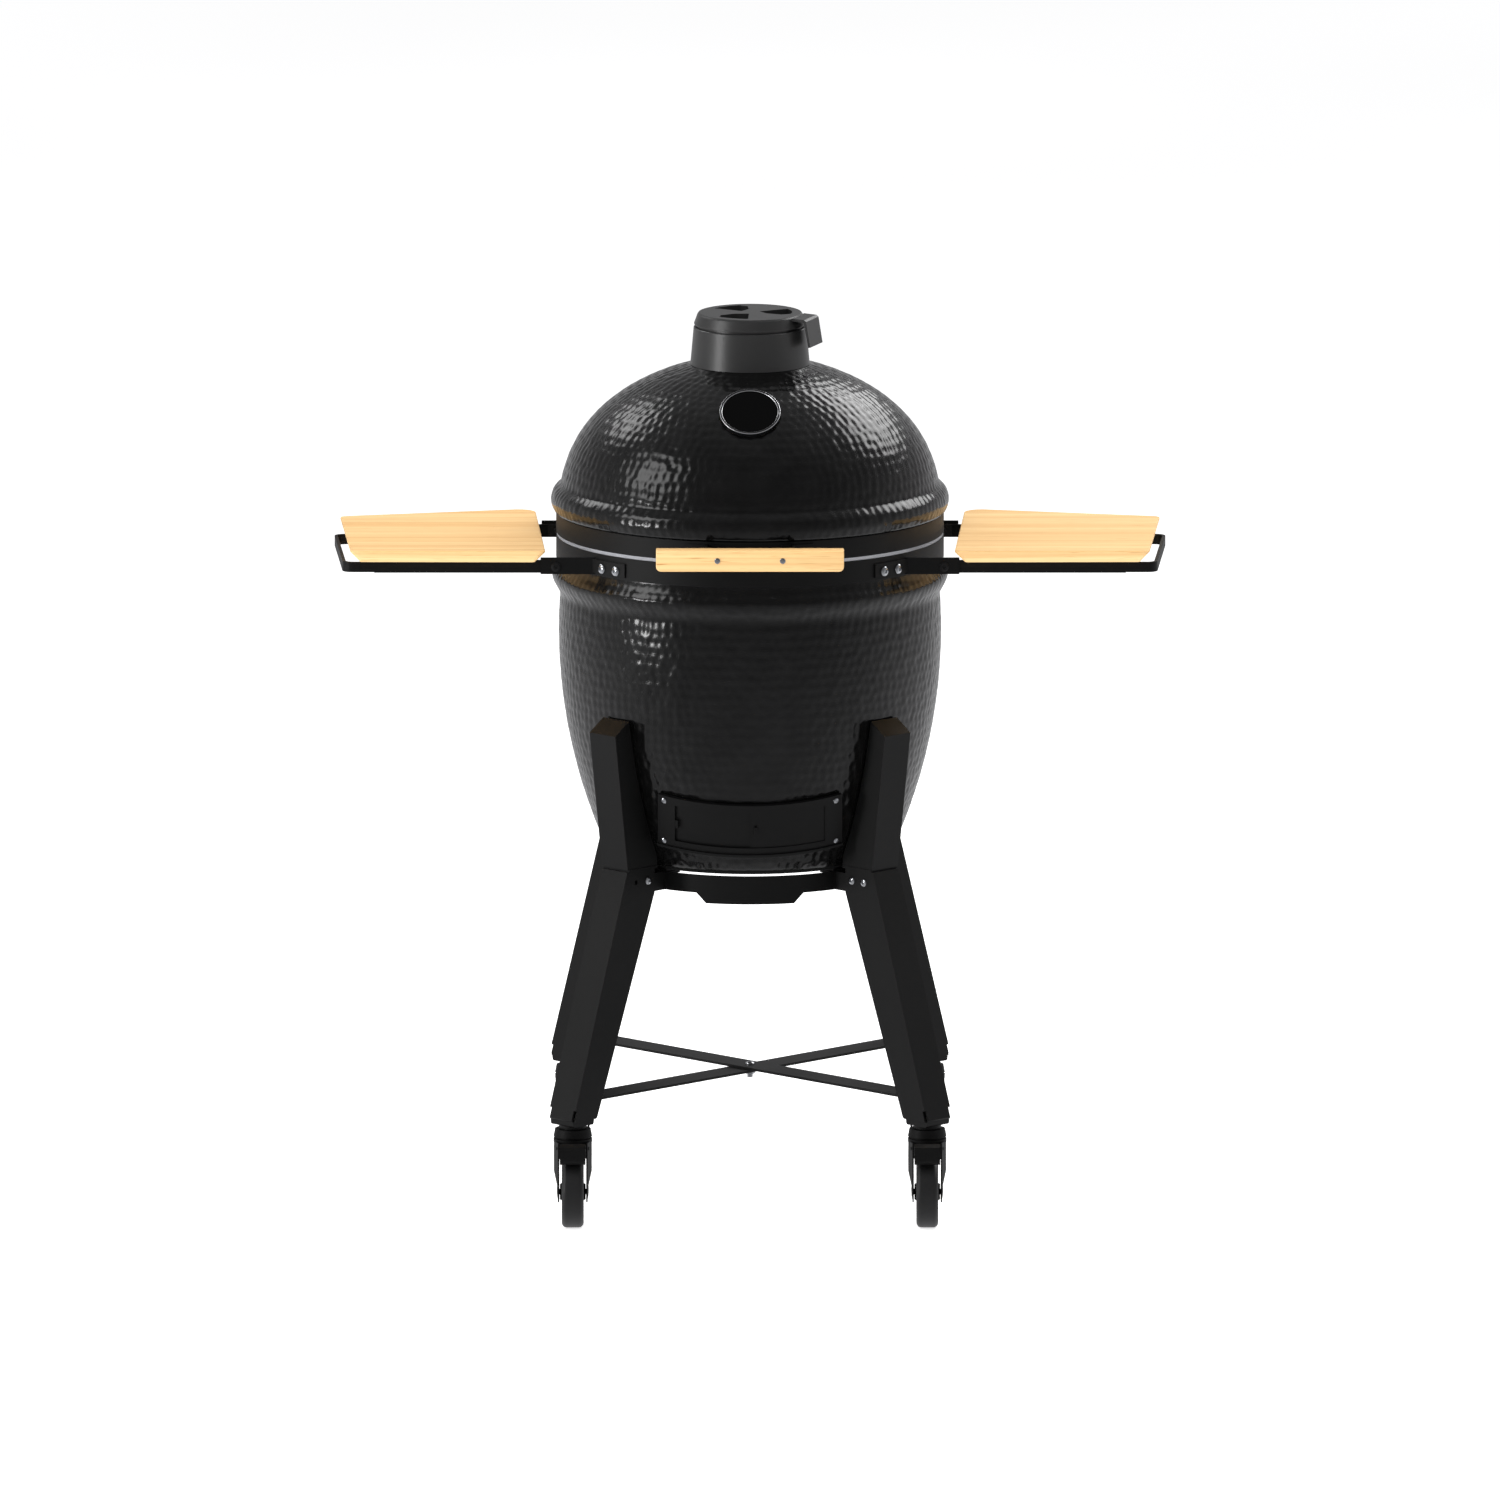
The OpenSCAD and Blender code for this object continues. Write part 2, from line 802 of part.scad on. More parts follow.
module shelf_frame() {
    outer = frame_path(0);
    inner = frame_path(rail_t);
    outline = concat(
        [outer[0]], corner(outer[0], outer[1], outer[2], 14, 8), corner(outer[1], outer[2], outer[3], 14, 8),
        [outer[3], [frame_kink_x + 14, back_rail_y], outer[4]],
        [inner[4], [frame_kink_x + 14, back_rail_y - rail_t], inner[3]],
        corner(inner[3], inner[2], inner[1], 9.5, 8), corner(inner[2], inner[1], inner[0], 9.5, 8),
        [inner[0]]
    );
    color("#1b1b1c")
    difference() {
        slab(rail_low_z, rail_high_z)
            polygon(outline);
        for (z = [rail_low_z - 2, rail_high_z - 2.6])
            translate([-700, -250, z])
                cube([700 - 515, 500, z < rail_low_z ? 2.8 : 5]);
        translate([-fold_x, 200, fold_z])
            rotate([90, 0, 0])
                cylinder(r = pivot_r + slip, h = 400);
    }
}

module shelf_frame_left() {
    shelf_frame();
}

module shelf_frame_right() {
    mirror([1, 0, 0])
        shelf_frame();
}

module shelf_board() {
    low = inset(board_corners, bevel);
    color("#edc98f")
    hull() {
        slab(board_top_z - 2.5, board_top_z)
            polygon(rounded(board_corners, board_rounds));
        slab(board_top_z - board_t, board_top_z - board_t + 1)
            polygon(rounded(low, [for (r = board_rounds) max(4, r - bevel / 2)]));
    }
}

module shelf_board_left() {
    shelf_board();
}

module shelf_board_right() {
    mirror([1, 0, 0])
        shelf_board();
}

module shelf_pivots() {
    color("#2a2a2c")
    for (side = [0, 1])
        mirror([side, 0, 0])
            for (end = [-1, 1]) {
                rail_y = end < 0 ? front_rail_y : back_rail_y;
                translate([-fold_x, rail_y + end * (0.4 + cheek_t), fold_z])
                    rotate([end * -90, 0, 0])
                        domed_bolt(6.5, 3, pivot_r, cheek_t + rail_t + 4);
            }
}

module bracket_bolts() {
    color("#c9c9cc")
    for (side = [0, 1])
        mirror([side, 0, 0])
            for (end = [-1, 1])
                for (a = bracket_bolt_angles)
                    rotate([0, 0, 180 - end * a])
                        translate([band_r + 0.1 + cheek_t, 0, bracket_bolt_z])
                            rotate([0, 90, 0])
                                domed_bolt(6.8, 4, bracket_bolt_r, cheek_t - 0.1);
}

// Extrudes a side outline of a leg, given as [radius, height], to a width w
module leg_profile(w) {
    rotate([90, 0, 0])
        translate([0, 0, -w / 2])
            linear_extrude(w)
                children();
}

module leg() {
    top_z = knee_z - knee_plate_t;
    foot_in = leg_foot_r - leg_depth_foot;
    knee_in = leg_knee_r - leg_depth_knee;
    top_r = leg_knee_r + leg_slope * knee_plate_t;
    cup_z = leg_foot_z - cup_h;
    inner_z = leg_foot_z + foot_plate_t;
    color("#171718")
    difference() {
        union() {
            leg_profile(leg_w)
                polygon([
                    [leg_foot_r - 2, leg_foot_z], [leg_foot_r - 0.6, leg_foot_z + 2], [top_r, top_z],
                    [knee_in, top_z], [knee_in, top_z - leg_knee_edge],
                    [foot_in, leg_foot_z + 2], [foot_in + 2, leg_foot_z]
                ]);
            leg_profile(leg_w - 2 * cup_in)
                polygon([
                    [leg_foot_r - cup_in, leg_foot_z + 1], [leg_foot_r - cup_in - 1, cup_z + 1.5],
                    [leg_foot_r - cup_in - 3, cup_z], [foot_in + cup_in + 3, cup_z],
                    [foot_in + cup_in + 1, cup_z + 1.5], [foot_in + cup_in, leg_foot_z + 1]
                ]);
        }
        leg_profile(leg_w - 2 * leg_t)
            polygon([
                [leg_foot_r - leg_t - 1.5, inner_z], [top_r - leg_t, top_z + 1],
                [knee_in - 5, top_z + 1], [knee_in - 20, top_z - leg_knee_edge], [foot_in - 20, inner_z]
            ]);
        for (s = [-1, 1])
            translate([leg_foot_r - 4, s * (leg_w / 2 - notch[1] / 4), leg_foot_z - 1])
                rotate([0, -atan(leg_slope), 0])
                    translate([0, -notch[1] / 2, 0])
                        cube(notch);
        translate([caster_xy * sqrt(2), 0, cup_z - 1])
            cylinder(r = stem_r + 0.2, h = cup_h + foot_plate_t + 2);
        for (r = ring_bolt_r)
            translate([r, -leg_w, ring_bolt_z])
                rotate([-90, 0, 0])
                    cylinder(r = ring_hole_r, h = 2 * leg_w);
    }
}

module arm() {
    gap = 1.5;
    low_z = knee_z + arm_foot_h;
    bottom_in = wall_r(low_z) + gap;
    inner = [for (z = [low_z:arm_inner_step:arm_top_z]) [wall_r(z) + gap, z]];
    tab_low_z = foot_z - pad_t - tab_t;
    color("#171718") {
        difference() {
            leg_profile(leg_w)
                polygon(concat(
                    [[leg_knee_r, knee_z], [arm_top_r, arm_top_z], [wall_r(arm_tip_z) + gap + 1, arm_tip_z]],
                    [for (i = [len(inner) - 1:-1:0]) inner[i]],
                    [[bottom_in, knee_z]]
                ));
            leg_profile(leg_w - 2 * leg_t)
                polygon([
                    [leg_knee_r - leg_t, knee_z - 1], [arm_top_r - leg_t - 1, arm_top_z - 1],
                    [wall_r(arm_tip_z) + 4, arm_tip_z - leg_t - 2], [wall_r(arm_tip_z) - 12, arm_tip_z - 5],
                    [bottom_in - 30, knee_z + 10], [bottom_in - 30, knee_z - 1]
                ]);
        }
        translate([tab_r, -leg_w / 2 - 1, knee_z - knee_plate_t])
            cube([leg_knee_r - 2 - tab_r, leg_w + 2, knee_plate_t + eps]);
        translate([tab_start_r, -tab_half_w, tab_low_z])
            cube([tab_r + tab_t - tab_start_r, 2 * tab_half_w, tab_t]);
        translate([tab_r, -tab_half_w, tab_low_z])
            cube([tab_t, 2 * tab_half_w, knee_z - tab_low_z]);
    }
}

module leg_front_left() {
    at_leg(-1, -1) leg();
}

module leg_front_right() {
    at_leg(1, -1) leg();
}

module leg_rear_left() {
    at_leg(-1, 1) leg();
}

module leg_rear_right() {
    at_leg(1, 1) leg();
}

module arm_front_left() {
    at_leg(-1, -1) arm();
}

module arm_front_right() {
    at_leg(1, -1) arm();
}

module arm_rear_left() {
    at_leg(-1, 1) arm();
}

module arm_rear_right() {
    at_leg(1, 1) arm();
}

// A curved strip between two legs, centred on +X, with a bolted tab at each end
module ring_segment(strip_h) {
    tab_y = leg_w / 2 - leg_t - 0.2;
    mid_r = ring_r - leg_t;
    start_r = sqrt(mid_r * mid_r - tab_y * tab_y);
    end_a = asin((tab_y - leg_t) / mid_r);
    ring_sector(mid_r, ring_r, ring_top_z - strip_h, ring_top_z, -45 + end_a, 45 - end_a);
    for (s = [-1, 1])
        rotate([0, 0, s * 45])
            difference() {
                translate([start_r, s > 0 ? -tab_y : tab_y - leg_t, ring_top_z - ring_h])
                    cube([ring_bolt_r[1] + 7 - mid_r, leg_t, ring_h]);
                for (r = ring_bolt_r)
                    translate([r, -leg_w, ring_bolt_z])
                        rotate([-90, 0, 0])
                            cylinder(r = ring_hole_r, h = 2 * leg_w);
            }
}

// The front strip is deeper in its middle
module ring_front() {
    color("#1b1b1c")
    difference() {
        rotate([0, 0, -90])
            ring_segment(ring_h + apron_h);
        for (s = [-1, 1])
            translate([0, 0, ring_top_z - ring_h - apron_h])
                rotate([90, 0, 0])
                    linear_extrude(300)
                        polygon([
                            [s * apron_half_w, -1], [s * apron_half_w, 0],
                            [s * (apron_half_w + 13), apron_h], [s * 200, apron_h], [s * 200, -1]
                        ]);
    }
}

module ring_sides() {
    color("#1b1b1c")
    for (a = [0, 90, 180])
        rotate([0, 0, a])
            ring_segment(ring_h);
}

module foot_pads() {
    color("#2b2b2b")
    for (a = [45:90:315])
        rotate([0, 0, a])
            translate([157, -17, foot_z - pad_t])
                cube([22, 34, pad_t]);
}

// Bolts of the support ring, with the one left out at the front left, and the brace bolt
module frame_bolts() {
    color("#c9c9cc") {
        for (a = [45:90:315])
            rotate([0, 0, a])
                for (s = [-1, 1])
                    for (r = ring_bolt_r)
                        if (!(a == 225 && s > 0 && r == ring_bolt_r[1]))
                            translate([r, s * leg_w / 2, ring_bolt_z])
                                rotate([s * -90, 0, 0])
                                    domed_bolt(5.6, 3.2, 3, 8);
        translate([0, 0, brace_z + brace_t + 0.1])
            domed_bolt(brace_bolt_r + 1.5, 4, brace_bolt_r - 1, 18);
        translate([0, 0, brace_z - brace_t - 6.2])
            cylinder(r = 7, h = 6, $fn = 6);
    }
}

module brace(z) {
    half = leg_foot_r - leg_slope * (brace_z - leg_foot_z) - leg_t - 2;
    difference() {
        translate([-half, -brace_w / 2, z])
            cube([2 * half, brace_w, brace_t]);
        translate([0, 0, z - 5])
            cylinder(r = brace_bolt_r - 1, h = 20);
    }
}

module brace_upper() {
    color("#1b1b1c")
    rotate([0, 0, 135])
        brace(brace_z);
}

module brace_lower() {
    color("#1b1b1c")
    rotate([0, 0, 45])
        brace(brace_z - brace_t);
}

// Places a caster part; trail is -1 towards the front and 1 towards the rear
module at_caster(side, end) {
    translate([side * caster_xy, end * caster_xy, 0])
        rotate([0, 0, end > 0 ? 180 : 0])
            children();
}

module caster_stems() {
    neck_z = head_high_z + 0.5;
    color("#2a2a2c")
    for (side = [-1, 1])
        for (end = [-1, 1])
            at_caster(side, end) {
                translate([0, 0, neck_z])
                    cylinder(r = swivel_neck_r, h = leg_foot_z - cup_h - neck_z);
                translate([0, 0, head_low_z - 3])
                    cylinder(r = stem_r, h = stem_h);
            }
}

// Plan of the fork's bent plate: round behind the stem, then closing in to the wheel
function fork_plan(d) = concat(
    [[-fork_in - fork_t + d, -70], [-fork_in - fork_t + d, flank_front_y]],
    arc(0, 0, fork_back_r - d, 184, -4, 24),
    [[fork_in + fork_t - d, flank_front_y], [fork_in + fork_t - d, -70]]
);

module fork() {
    side_outline = concat(
        [[head_r + 1, head_low_z + 2], [flank_front_y, head_low_z + 2], [-50, 62]],
        arc(-caster_trail, wheel_r, flank_boss_r, 155, 385, 12),
        [[2, 76], [20, fork_shut_z], [head_r + 1, fork_shut_z]]
    );
    color("#101011")
    difference() {
        union() {
            translate([0, 0, head_low_z])
                cylinder(r = head_r, h = 5);
            translate([0, 0, head_low_z + 5 - eps])
                cylinder(r = head_r - 3, h = 3);
            translate([0, 0, head_low_z + 8 - 2 * eps])
                cylinder(r1 = head_r, r2 = head_r - 2, h = head_high_z - head_low_z - 8);
            intersection() {
                linear_extrude(head_low_z + 4)
                    difference() {
                        polygon(fork_plan(0));
                        polygon(fork_plan(fork_t));
                    }
                rotate([90, 0, 90])
                    translate([0, 0, -40])
                        linear_extrude(80)
                            polygon(side_outline);
            }
            translate([-fork_in - fork_t / 2, -caster_trail, wheel_r])
                rotate([0, 90, 0])
                    cylinder(r = axle_r, h = 2 * fork_in + fork_t);
        }
        translate([0, 0, head_low_z - 5])
            cylinder(r = stem_r + slip, h = 40);
        for (s = [-1, 1])
            translate([s * pedal_pivot_half - 5, pedal_pivot[0], pedal_pivot[1]])
                rotate([0, 90, 0])
                    cylinder(r = pedal_pivot_r + slip, h = 10);
    }
}

module fork_front_left() {
    at_caster(-1, -1) fork();
}

module fork_front_right() {
    at_caster(1, -1) fork();
}

module fork_rear_left() {
    at_caster(-1, 1) fork();
}

module fork_rear_right() {
    at_caster(1, 1) fork();
}

module wheel() {
    half = wheel_w / 2;
    color("#0e0e0f")
    translate([0, -caster_trail, wheel_r])
        rotate([0, 90, 0])
            rotate_extrude()
                polygon(concat(
                    [[axle_r + slip, -17.8], [11, -17.8], [13, -13], [34, -12], [36, -half]],
                    arc(wheel_r - 5, -half + 5, 5, -90, 0, 5),
                    arc(wheel_r - 5, half - 5, 5, 0, 90, 5),
                    [[36, half], [34, 12], [13, 13], [11, 17.8], [axle_r + slip, 17.8]]
                ));
}

module wheel_front_left() {
    at_caster(-1, -1) wheel();
}

module wheel_front_right() {
    at_caster(1, -1) wheel();
}

module wheel_rear_left() {
    at_caster(-1, 1) wheel();
}

module wheel_rear_right() {
    at_caster(1, 1) wheel();
}

// Brake pedal of a front caster: a ribbed tread over the wheel with a pivot in the fork
module pedal() {
    tread = concat(
        [[-14, 109.5], [-22, 111.5], [-46, 111.5], [-70, 122], [-78, 118]],
        arc(-72, 101, 7.5, 170, 300, 6),
        [[-52, 103.5], [-24, 101.5]]
    );
    color("#141415") {
        rotate([90, 0, 90])
            translate([0, 0, -pedal_half_w])
                linear_extrude(2 * pedal_half_w)
                    polygon(tread);
        translate([-pedal_pivot_half, pedal_pivot[0], pedal_pivot[1]])
            rotate([0, 90, 0])
                cylinder(r = pedal_pivot_r, h = 2 * pedal_pivot_half);
    }
}

module pedal_left() {
    at_caster(-1, -1) pedal();
}

module pedal_right() {
    at_caster(1, -1) pedal();
}

base_shell();
firebox();
fire_ring();
charcoal_grate();
cooking_grate();
lower_band();
base_gasket();
hinge_base();
hinge_pin();
hinge_springs();
draft_frame();
draft_door_left();
draft_door_right();
draft_screws();
lid_shell();
upper_band();
lid_gasket();
hinge_lid();
chimney_body();
cap_pivot();
vent_cap();
thermometer_bezel();
thermometer_dial();
thermometer_glass();
handle_grip();
handle_bracket();
handle_bolts();
shelf_brackets_left();
shelf_brackets_right();
shelf_frame_left();
shelf_frame_right();
shelf_board_left();
shelf_board_right();
shelf_pivots();
bracket_bolts();
leg_front_left();
leg_front_right();
leg_rear_left();
leg_rear_right();
arm_front_left();
arm_front_right();
arm_rear_left();
arm_rear_right();
ring_front();
ring_sides();
foot_pads();
frame_bolts();
brace_upper();
brace_lower();
caster_stems();
fork_front_left();
fork_front_right();
fork_rear_left();
fork_rear_right();
wheel_front_left();
wheel_front_right();
wheel_rear_left();
wheel_rear_right();
pedal_left();
pedal_right();
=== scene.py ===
import bmesh
import bpy
import json
import numpy as np
from math import cos, pi, radians, sin
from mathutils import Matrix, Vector

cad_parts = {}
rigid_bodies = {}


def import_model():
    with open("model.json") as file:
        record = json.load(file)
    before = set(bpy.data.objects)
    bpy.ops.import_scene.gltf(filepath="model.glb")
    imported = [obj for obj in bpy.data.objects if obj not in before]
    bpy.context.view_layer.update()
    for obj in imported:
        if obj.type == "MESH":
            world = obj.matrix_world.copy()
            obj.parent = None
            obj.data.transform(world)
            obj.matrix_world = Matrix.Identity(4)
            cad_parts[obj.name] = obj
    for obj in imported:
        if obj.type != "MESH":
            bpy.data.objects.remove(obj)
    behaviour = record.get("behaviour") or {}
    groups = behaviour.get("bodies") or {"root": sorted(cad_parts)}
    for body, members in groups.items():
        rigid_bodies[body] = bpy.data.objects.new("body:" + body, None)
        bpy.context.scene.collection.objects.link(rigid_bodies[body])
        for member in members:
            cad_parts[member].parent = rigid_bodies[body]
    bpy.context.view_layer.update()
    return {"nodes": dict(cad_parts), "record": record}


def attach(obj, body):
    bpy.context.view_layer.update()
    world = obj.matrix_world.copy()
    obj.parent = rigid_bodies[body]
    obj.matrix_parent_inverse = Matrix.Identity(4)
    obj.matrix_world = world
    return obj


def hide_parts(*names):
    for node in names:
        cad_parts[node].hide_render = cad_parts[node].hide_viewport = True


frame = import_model()
nodes = frame["nodes"]
print("frame loaded:", len(nodes), "nodes")

mm = 0.001

camera = {"elevation": 10, "distance": 60, "aimHeight": 0.615, "frameWidth": 2.0625, "sensor": 36,
          "clip": (1, 400)}


def placeCamera(c):
    # a long lens from far away, tilted down by the elevation: almost no perspective
    data = bpy.data.cameras.new("productCamera")
    data.sensor_width = c["sensor"]
    data.lens = c["sensor"] * c["distance"] / c["frameWidth"]
    data.clip_start, data.clip_end = c["clip"]
    cam = bpy.data.objects.new("productCamera", data)
    e = radians(c["elevation"])
    cam.location = (0, -c["distance"] * cos(e), c["aimHeight"] + c["distance"] * sin(e))
    cam.rotation_euler = (pi / 2 - e, 0, 0)
    bpy.context.scene.collection.objects.link(cam)
    bpy.context.scene.camera = cam


placeCamera(camera)
bpy.context.scene.view_settings.view_transform = "Standard"   # paper white stays white


def linear(code):
    # sRGB hex to linear: c / 12.92 near black, else ((c + 0.055) / 1.055) ** 2.4
    c = np.array([int(code[i:i + 2], 16) / 255 for i in (1, 3, 5)])
    low, high = c / 12.92, ((c + 0.055) / 1.055) ** 2.4
    return (*np.where(c <= 0.04045, low, high).tolist(), 1.0)


def plug(tree, value, socket):
    # a link from a socket or from a node's first output, or else a constant
    if isinstance(value, bpy.types.Node):
        value = value.outputs[0]
    if isinstance(value, bpy.types.NodeSocket):
        tree.links.new(value, socket)
    else:
        socket.default_value = value


def add(tree, kind, inputs={}, stops=(), **settings):
    # one shader node with its settings, values, links and, for a colour ramp, its stops
    node = tree.nodes.new("ShaderNode" + kind)
    for name, value in settings.items():
        setattr(node, name, value)
    for name, value in inputs.items():
        plug(tree, value, node.inputs[name])
    for i, (at, code) in enumerate(stops):
        stop = node.color_ramp.elements[i] if i < 2 else node.color_ramp.elements.new(at)
        stop.position, stop.color = at, linear(code)
    return node


def newMaterial(name, **values):
    # a Principled material; constant values go straight on the shader's sockets
    mat = bpy.data.materials.new(name)
    mat.use_nodes = True
    tree = mat.node_tree
    shader = tree.nodes["Principled BSDF"]
    for key, value in values.items():
        socket = shader.inputs[key]
        socket.default_value = linear(value) if isinstance(value, str) else value
    where = add(tree, "TexCoord").outputs["Object"]
    return mat, tree, shader, where


def joinUp(tree, shader, **links):
    # links given by the names of the shader's sockets
    for key, value in links.items():
        plug(tree, value, shader.inputs[key])


def buildFloor(size):
    m = bpy.data.meshes.new("floor")
    corners = [(-size, -size, 0), (size, -size, 0), (size, size, 0), (-size, size, 0)]
    m.from_pydata(corners, [], [(0, 1, 2, 3)])
    floor = bpy.data.objects.new("floor", m)
    bpy.context.scene.collection.objects.link(floor)
    mat, tree, shader, where = newMaterial("paperSweep", Roughness=0.9, IOR=1.2)
    # matt white paper with a faint cloudy unevenness, 2 m across
    cloud = add(tree, "TexNoise", {"Vector": where, "Scale": 0.5, "Detail": 1})
    white = add(tree, "ValToRGB", {"Fac": cloud}, [(0.3, "#f3f3f3"), (0.7, "#f8f8f8")])
    joinUp(tree, shader, **{"Base Color": white, "Emission Color": white})
    shader.inputs["Emission Strength"].default_value = 0.8
    m.materials.append(mat)
    floor.visible_glossy = False          # the glaze mirrors the dim studio, not the lit paper


buildFloor(80)

studio = {
    # name: (where it stands, where it points, width, height, power, seen in reflections)
    "backRight": ((2.5, 2.5, 3.7), (0, 0, 0.9), 3.4, 2.0, 100, True),
    "backLeft": ((-2.7, 2.4, 3.8), (0, 0, 0.9), 1.8, 1.2, 24, True),
    "sideLeft": ((-3.8, -1.4, 3.2), (0, 0, 0.9), 1.8, 2.0, 40, True),
    "lowStripLeft": ((-4.2, -2.1, 0.95), (0, 0, 1.1), 0.6, 0.8, 36, True),
    "frontFill": ((-1.2, -3.6, 3.7), (0, 0, 0.8), 3.0, 3.0, 105, False),
    "topFill": ((0.8, -0.4, 5.2), (0, 0, 0.8), 3.0, 3.0, 125, False),
}


def lightStudio(lamps):
    for name, (at, aim, width, height, power, shiny) in lamps.items():
        data = bpy.data.lights.new(name, "AREA")
        data.shape, data.size, data.size_y, data.energy = "RECTANGLE", width, height, power
        lamp = bpy.data.objects.new(name, data)
        lamp.location, lamp.visible_glossy = at, shiny
        lamp.rotation_euler = (Vector(at) - Vector(aim)).to_track_quat("Z", "Y").to_euler()
        bpy.context.scene.collection.objects.link(lamp)
    # dim grey studio: a little brighter low down at the back, darker in front
    world = bpy.data.worlds.new("dimStudio")
    world.use_nodes = True
    tree = world.node_tree
    way = add(tree, "SeparateXYZ", {"Vector": add(tree, "TexCoord").outputs["Generated"]})
    lift = add(tree, "MapRange", {"Value": way.outputs["Z"], "From Min": -0.6, "From Max": 0.5,
                                  "To Min": 0.85, "To Max": 0.3}, interpolation_type="SMOOTHSTEP")
    front = add(tree, "MapRange", {"Value": way.outputs["Y"], "From Min": -0.9, "From Max": 0.4,
                                   "To Min": 0.4, "To Max": 1.0}, interpolation_type="SMOOTHSTEP")
    level = add(tree, "Math", {0: lift, 1: front}, operation="MULTIPLY")
    plug(tree, level, tree.nodes["Background"].inputs["Strength"])
    tree.nodes["Background"].inputs["Color"].default_value = linear("#fdfdff")
    bpy.context.scene.world = world


lightStudio(studio)
print("studio ready")


def meshPiece(name, points, quads, tris, body, materials, marks=None):
    # whole arrays into a mesh: points in metres, faces as index rows, marks the material of each face
    m = bpy.data.meshes.new(name)
    quads, tris = np.reshape(quads, (-1, 4)), np.reshape(tris, (-1, 3))
    m.vertices.add(len(points))
    m.vertices.foreach_set("co", np.asarray(points, np.float32).ravel())
    corners = np.concatenate([quads.ravel(), tris.ravel()]).astype(np.int32)
    sizes = np.concatenate([np.full(len(quads), 4), np.full(len(tris), 3)]).astype(np.int32)
    m.loops.add(len(corners))
    m.loops.foreach_set("vertex_index", corners)
    m.polygons.add(len(sizes))
    m.polygons.foreach_set("loop_start", (np.cumsum(sizes) - sizes).astype(np.int32))
    if marks is not None:
        m.polygons.foreach_set("material_index", np.asarray(marks, np.int32))
    m.polygons.foreach_set("use_smooth", np.ones(len(sizes), bool))
    m.update(calc_edges=True)
    m.validate()
    for mat in materials:
        m.materials.append(mat)
    piece = bpy.data.objects.new(name, m)
    bpy.context.scene.collection.objects.link(piece)
    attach(piece, body)
    return piece


def arcPoints(cx, cz, r, a0, a1, count):
    a = np.radians(np.linspace(a0, a1, count))
    return np.stack([cx + r * np.cos(a), cz + r * np.sin(a)], 1)


def evenly(line, step):
    # the same outline with points an even step apart along it
    along = np.concatenate([[0], np.cumsum(np.hypot(*np.diff(line, axis=0).T))])
    at = np.linspace(0, along[-1], max(2, int(round(along[-1] / step)) + 1))
    return np.stack([np.interp(at, along, line[:, 0]), np.interp(at, along, line[:, 1])], 1)


def gridFaces(rows, columns, closedRows):
    # quads of a grid that closes round its columns, and along its rows if asked
    i = np.arange(rows if closedRows else rows - 1)[:, None]
    j = np.arange(columns)[None, :]
    a, b = i * columns, ((i + 1) % rows) * columns
    k = (j + 1) % columns
    return np.stack([a + j, a + k, b + k, b + j], -1).reshape(-1, 4)


def glazedCeramic():
    # black kiln glaze: thick and glassy, waves of 6 mm on the surface and pooling 33 mm across in the tint
    mat, tree, shader, where = newMaterial("blackKilnGlaze", IOR=1.48)
    wave = add(tree, "TexNoise", {"Vector": where, "Scale": 160, "Detail": 3, "Roughness": 0.55})
    pool = add(tree, "TexNoise", {"Vector": where, "Scale": 30, "Detail": 2})
    tint = add(tree, "ValToRGB", {"Fac": pool}, [(0.3, "#050505"), (0.75, "#0b0b0b")])
    gloss = add(tree, "MapRange", {"Value": pool, "To Min": 0.16, "To Max": 0.24})
    bump = add(tree, "Bump", {"Height": wave, "Strength": 0.12, "Distance": 0.0006})
    joinUp(tree, shader, **{"Base Color": tint, "Roughness": gloss, "Normal": bump})
    return mat


def firedClay():
    # unglazed cordierite: warm cream, dry and matt, with 1 to 3 mm grog and pores
    mat, tree, shader, where = newMaterial("unglazedCordierite", IOR=1.45)
    grog = add(tree, "TexNoise", {"Vector": where, "Scale": 420, "Detail": 5, "Roughness": 0.7})
    cloud = add(tree, "TexNoise", {"Vector": where, "Scale": 14, "Detail": 2})
    mixed = add(tree, "Math", {0: grog, 1: cloud}, operation="MULTIPLY")
    tint = add(tree, "ValToRGB", {"Fac": mixed}, [(0.12, "#a58c6c"), (0.25, "#c9b08c"), (0.42, "#dac5a2")])
    rough = add(tree, "MapRange", {"Value": grog, "To Min": 0.8, "To Max": 1.0})
    bump = add(tree, "Bump", {"Height": grog, "Strength": 0.35, "Distance": 0.0008})
    joinUp(tree, shader, **{"Base Color": tint, "Roughness": rough, "Normal": bump})
    return mat


def powderCoat(name, dark, light, gloss):
    # baked powder paint on sheet steel: even, satin, its fine orange peel drawn 1.2 mm wide so that it shows
    mat, tree, shader, where = newMaterial(name, IOR=1.5, **{"Specular IOR Level": 0.3})
    peel = add(tree, "TexNoise", {"Vector": where, "Scale": 850, "Detail": 2, "Roughness": 0.6})
    film = add(tree, "TexNoise", {"Vector": where, "Scale": 9, "Detail": 2})
    tint = add(tree, "ValToRGB", {"Fac": film}, [(0.3, dark), (0.7, light)])
    rough = add(tree, "MapRange", {"Value": peel, "To Min": gloss - 0.06, "To Max": gloss + 0.08})
    bump = add(tree, "Bump", {"Height": peel, "Strength": 0.16, "Distance": 0.0003})
    joinUp(tree, shader, **{"Base Color": tint, "Roughness": rough, "Normal": bump})
    return mat


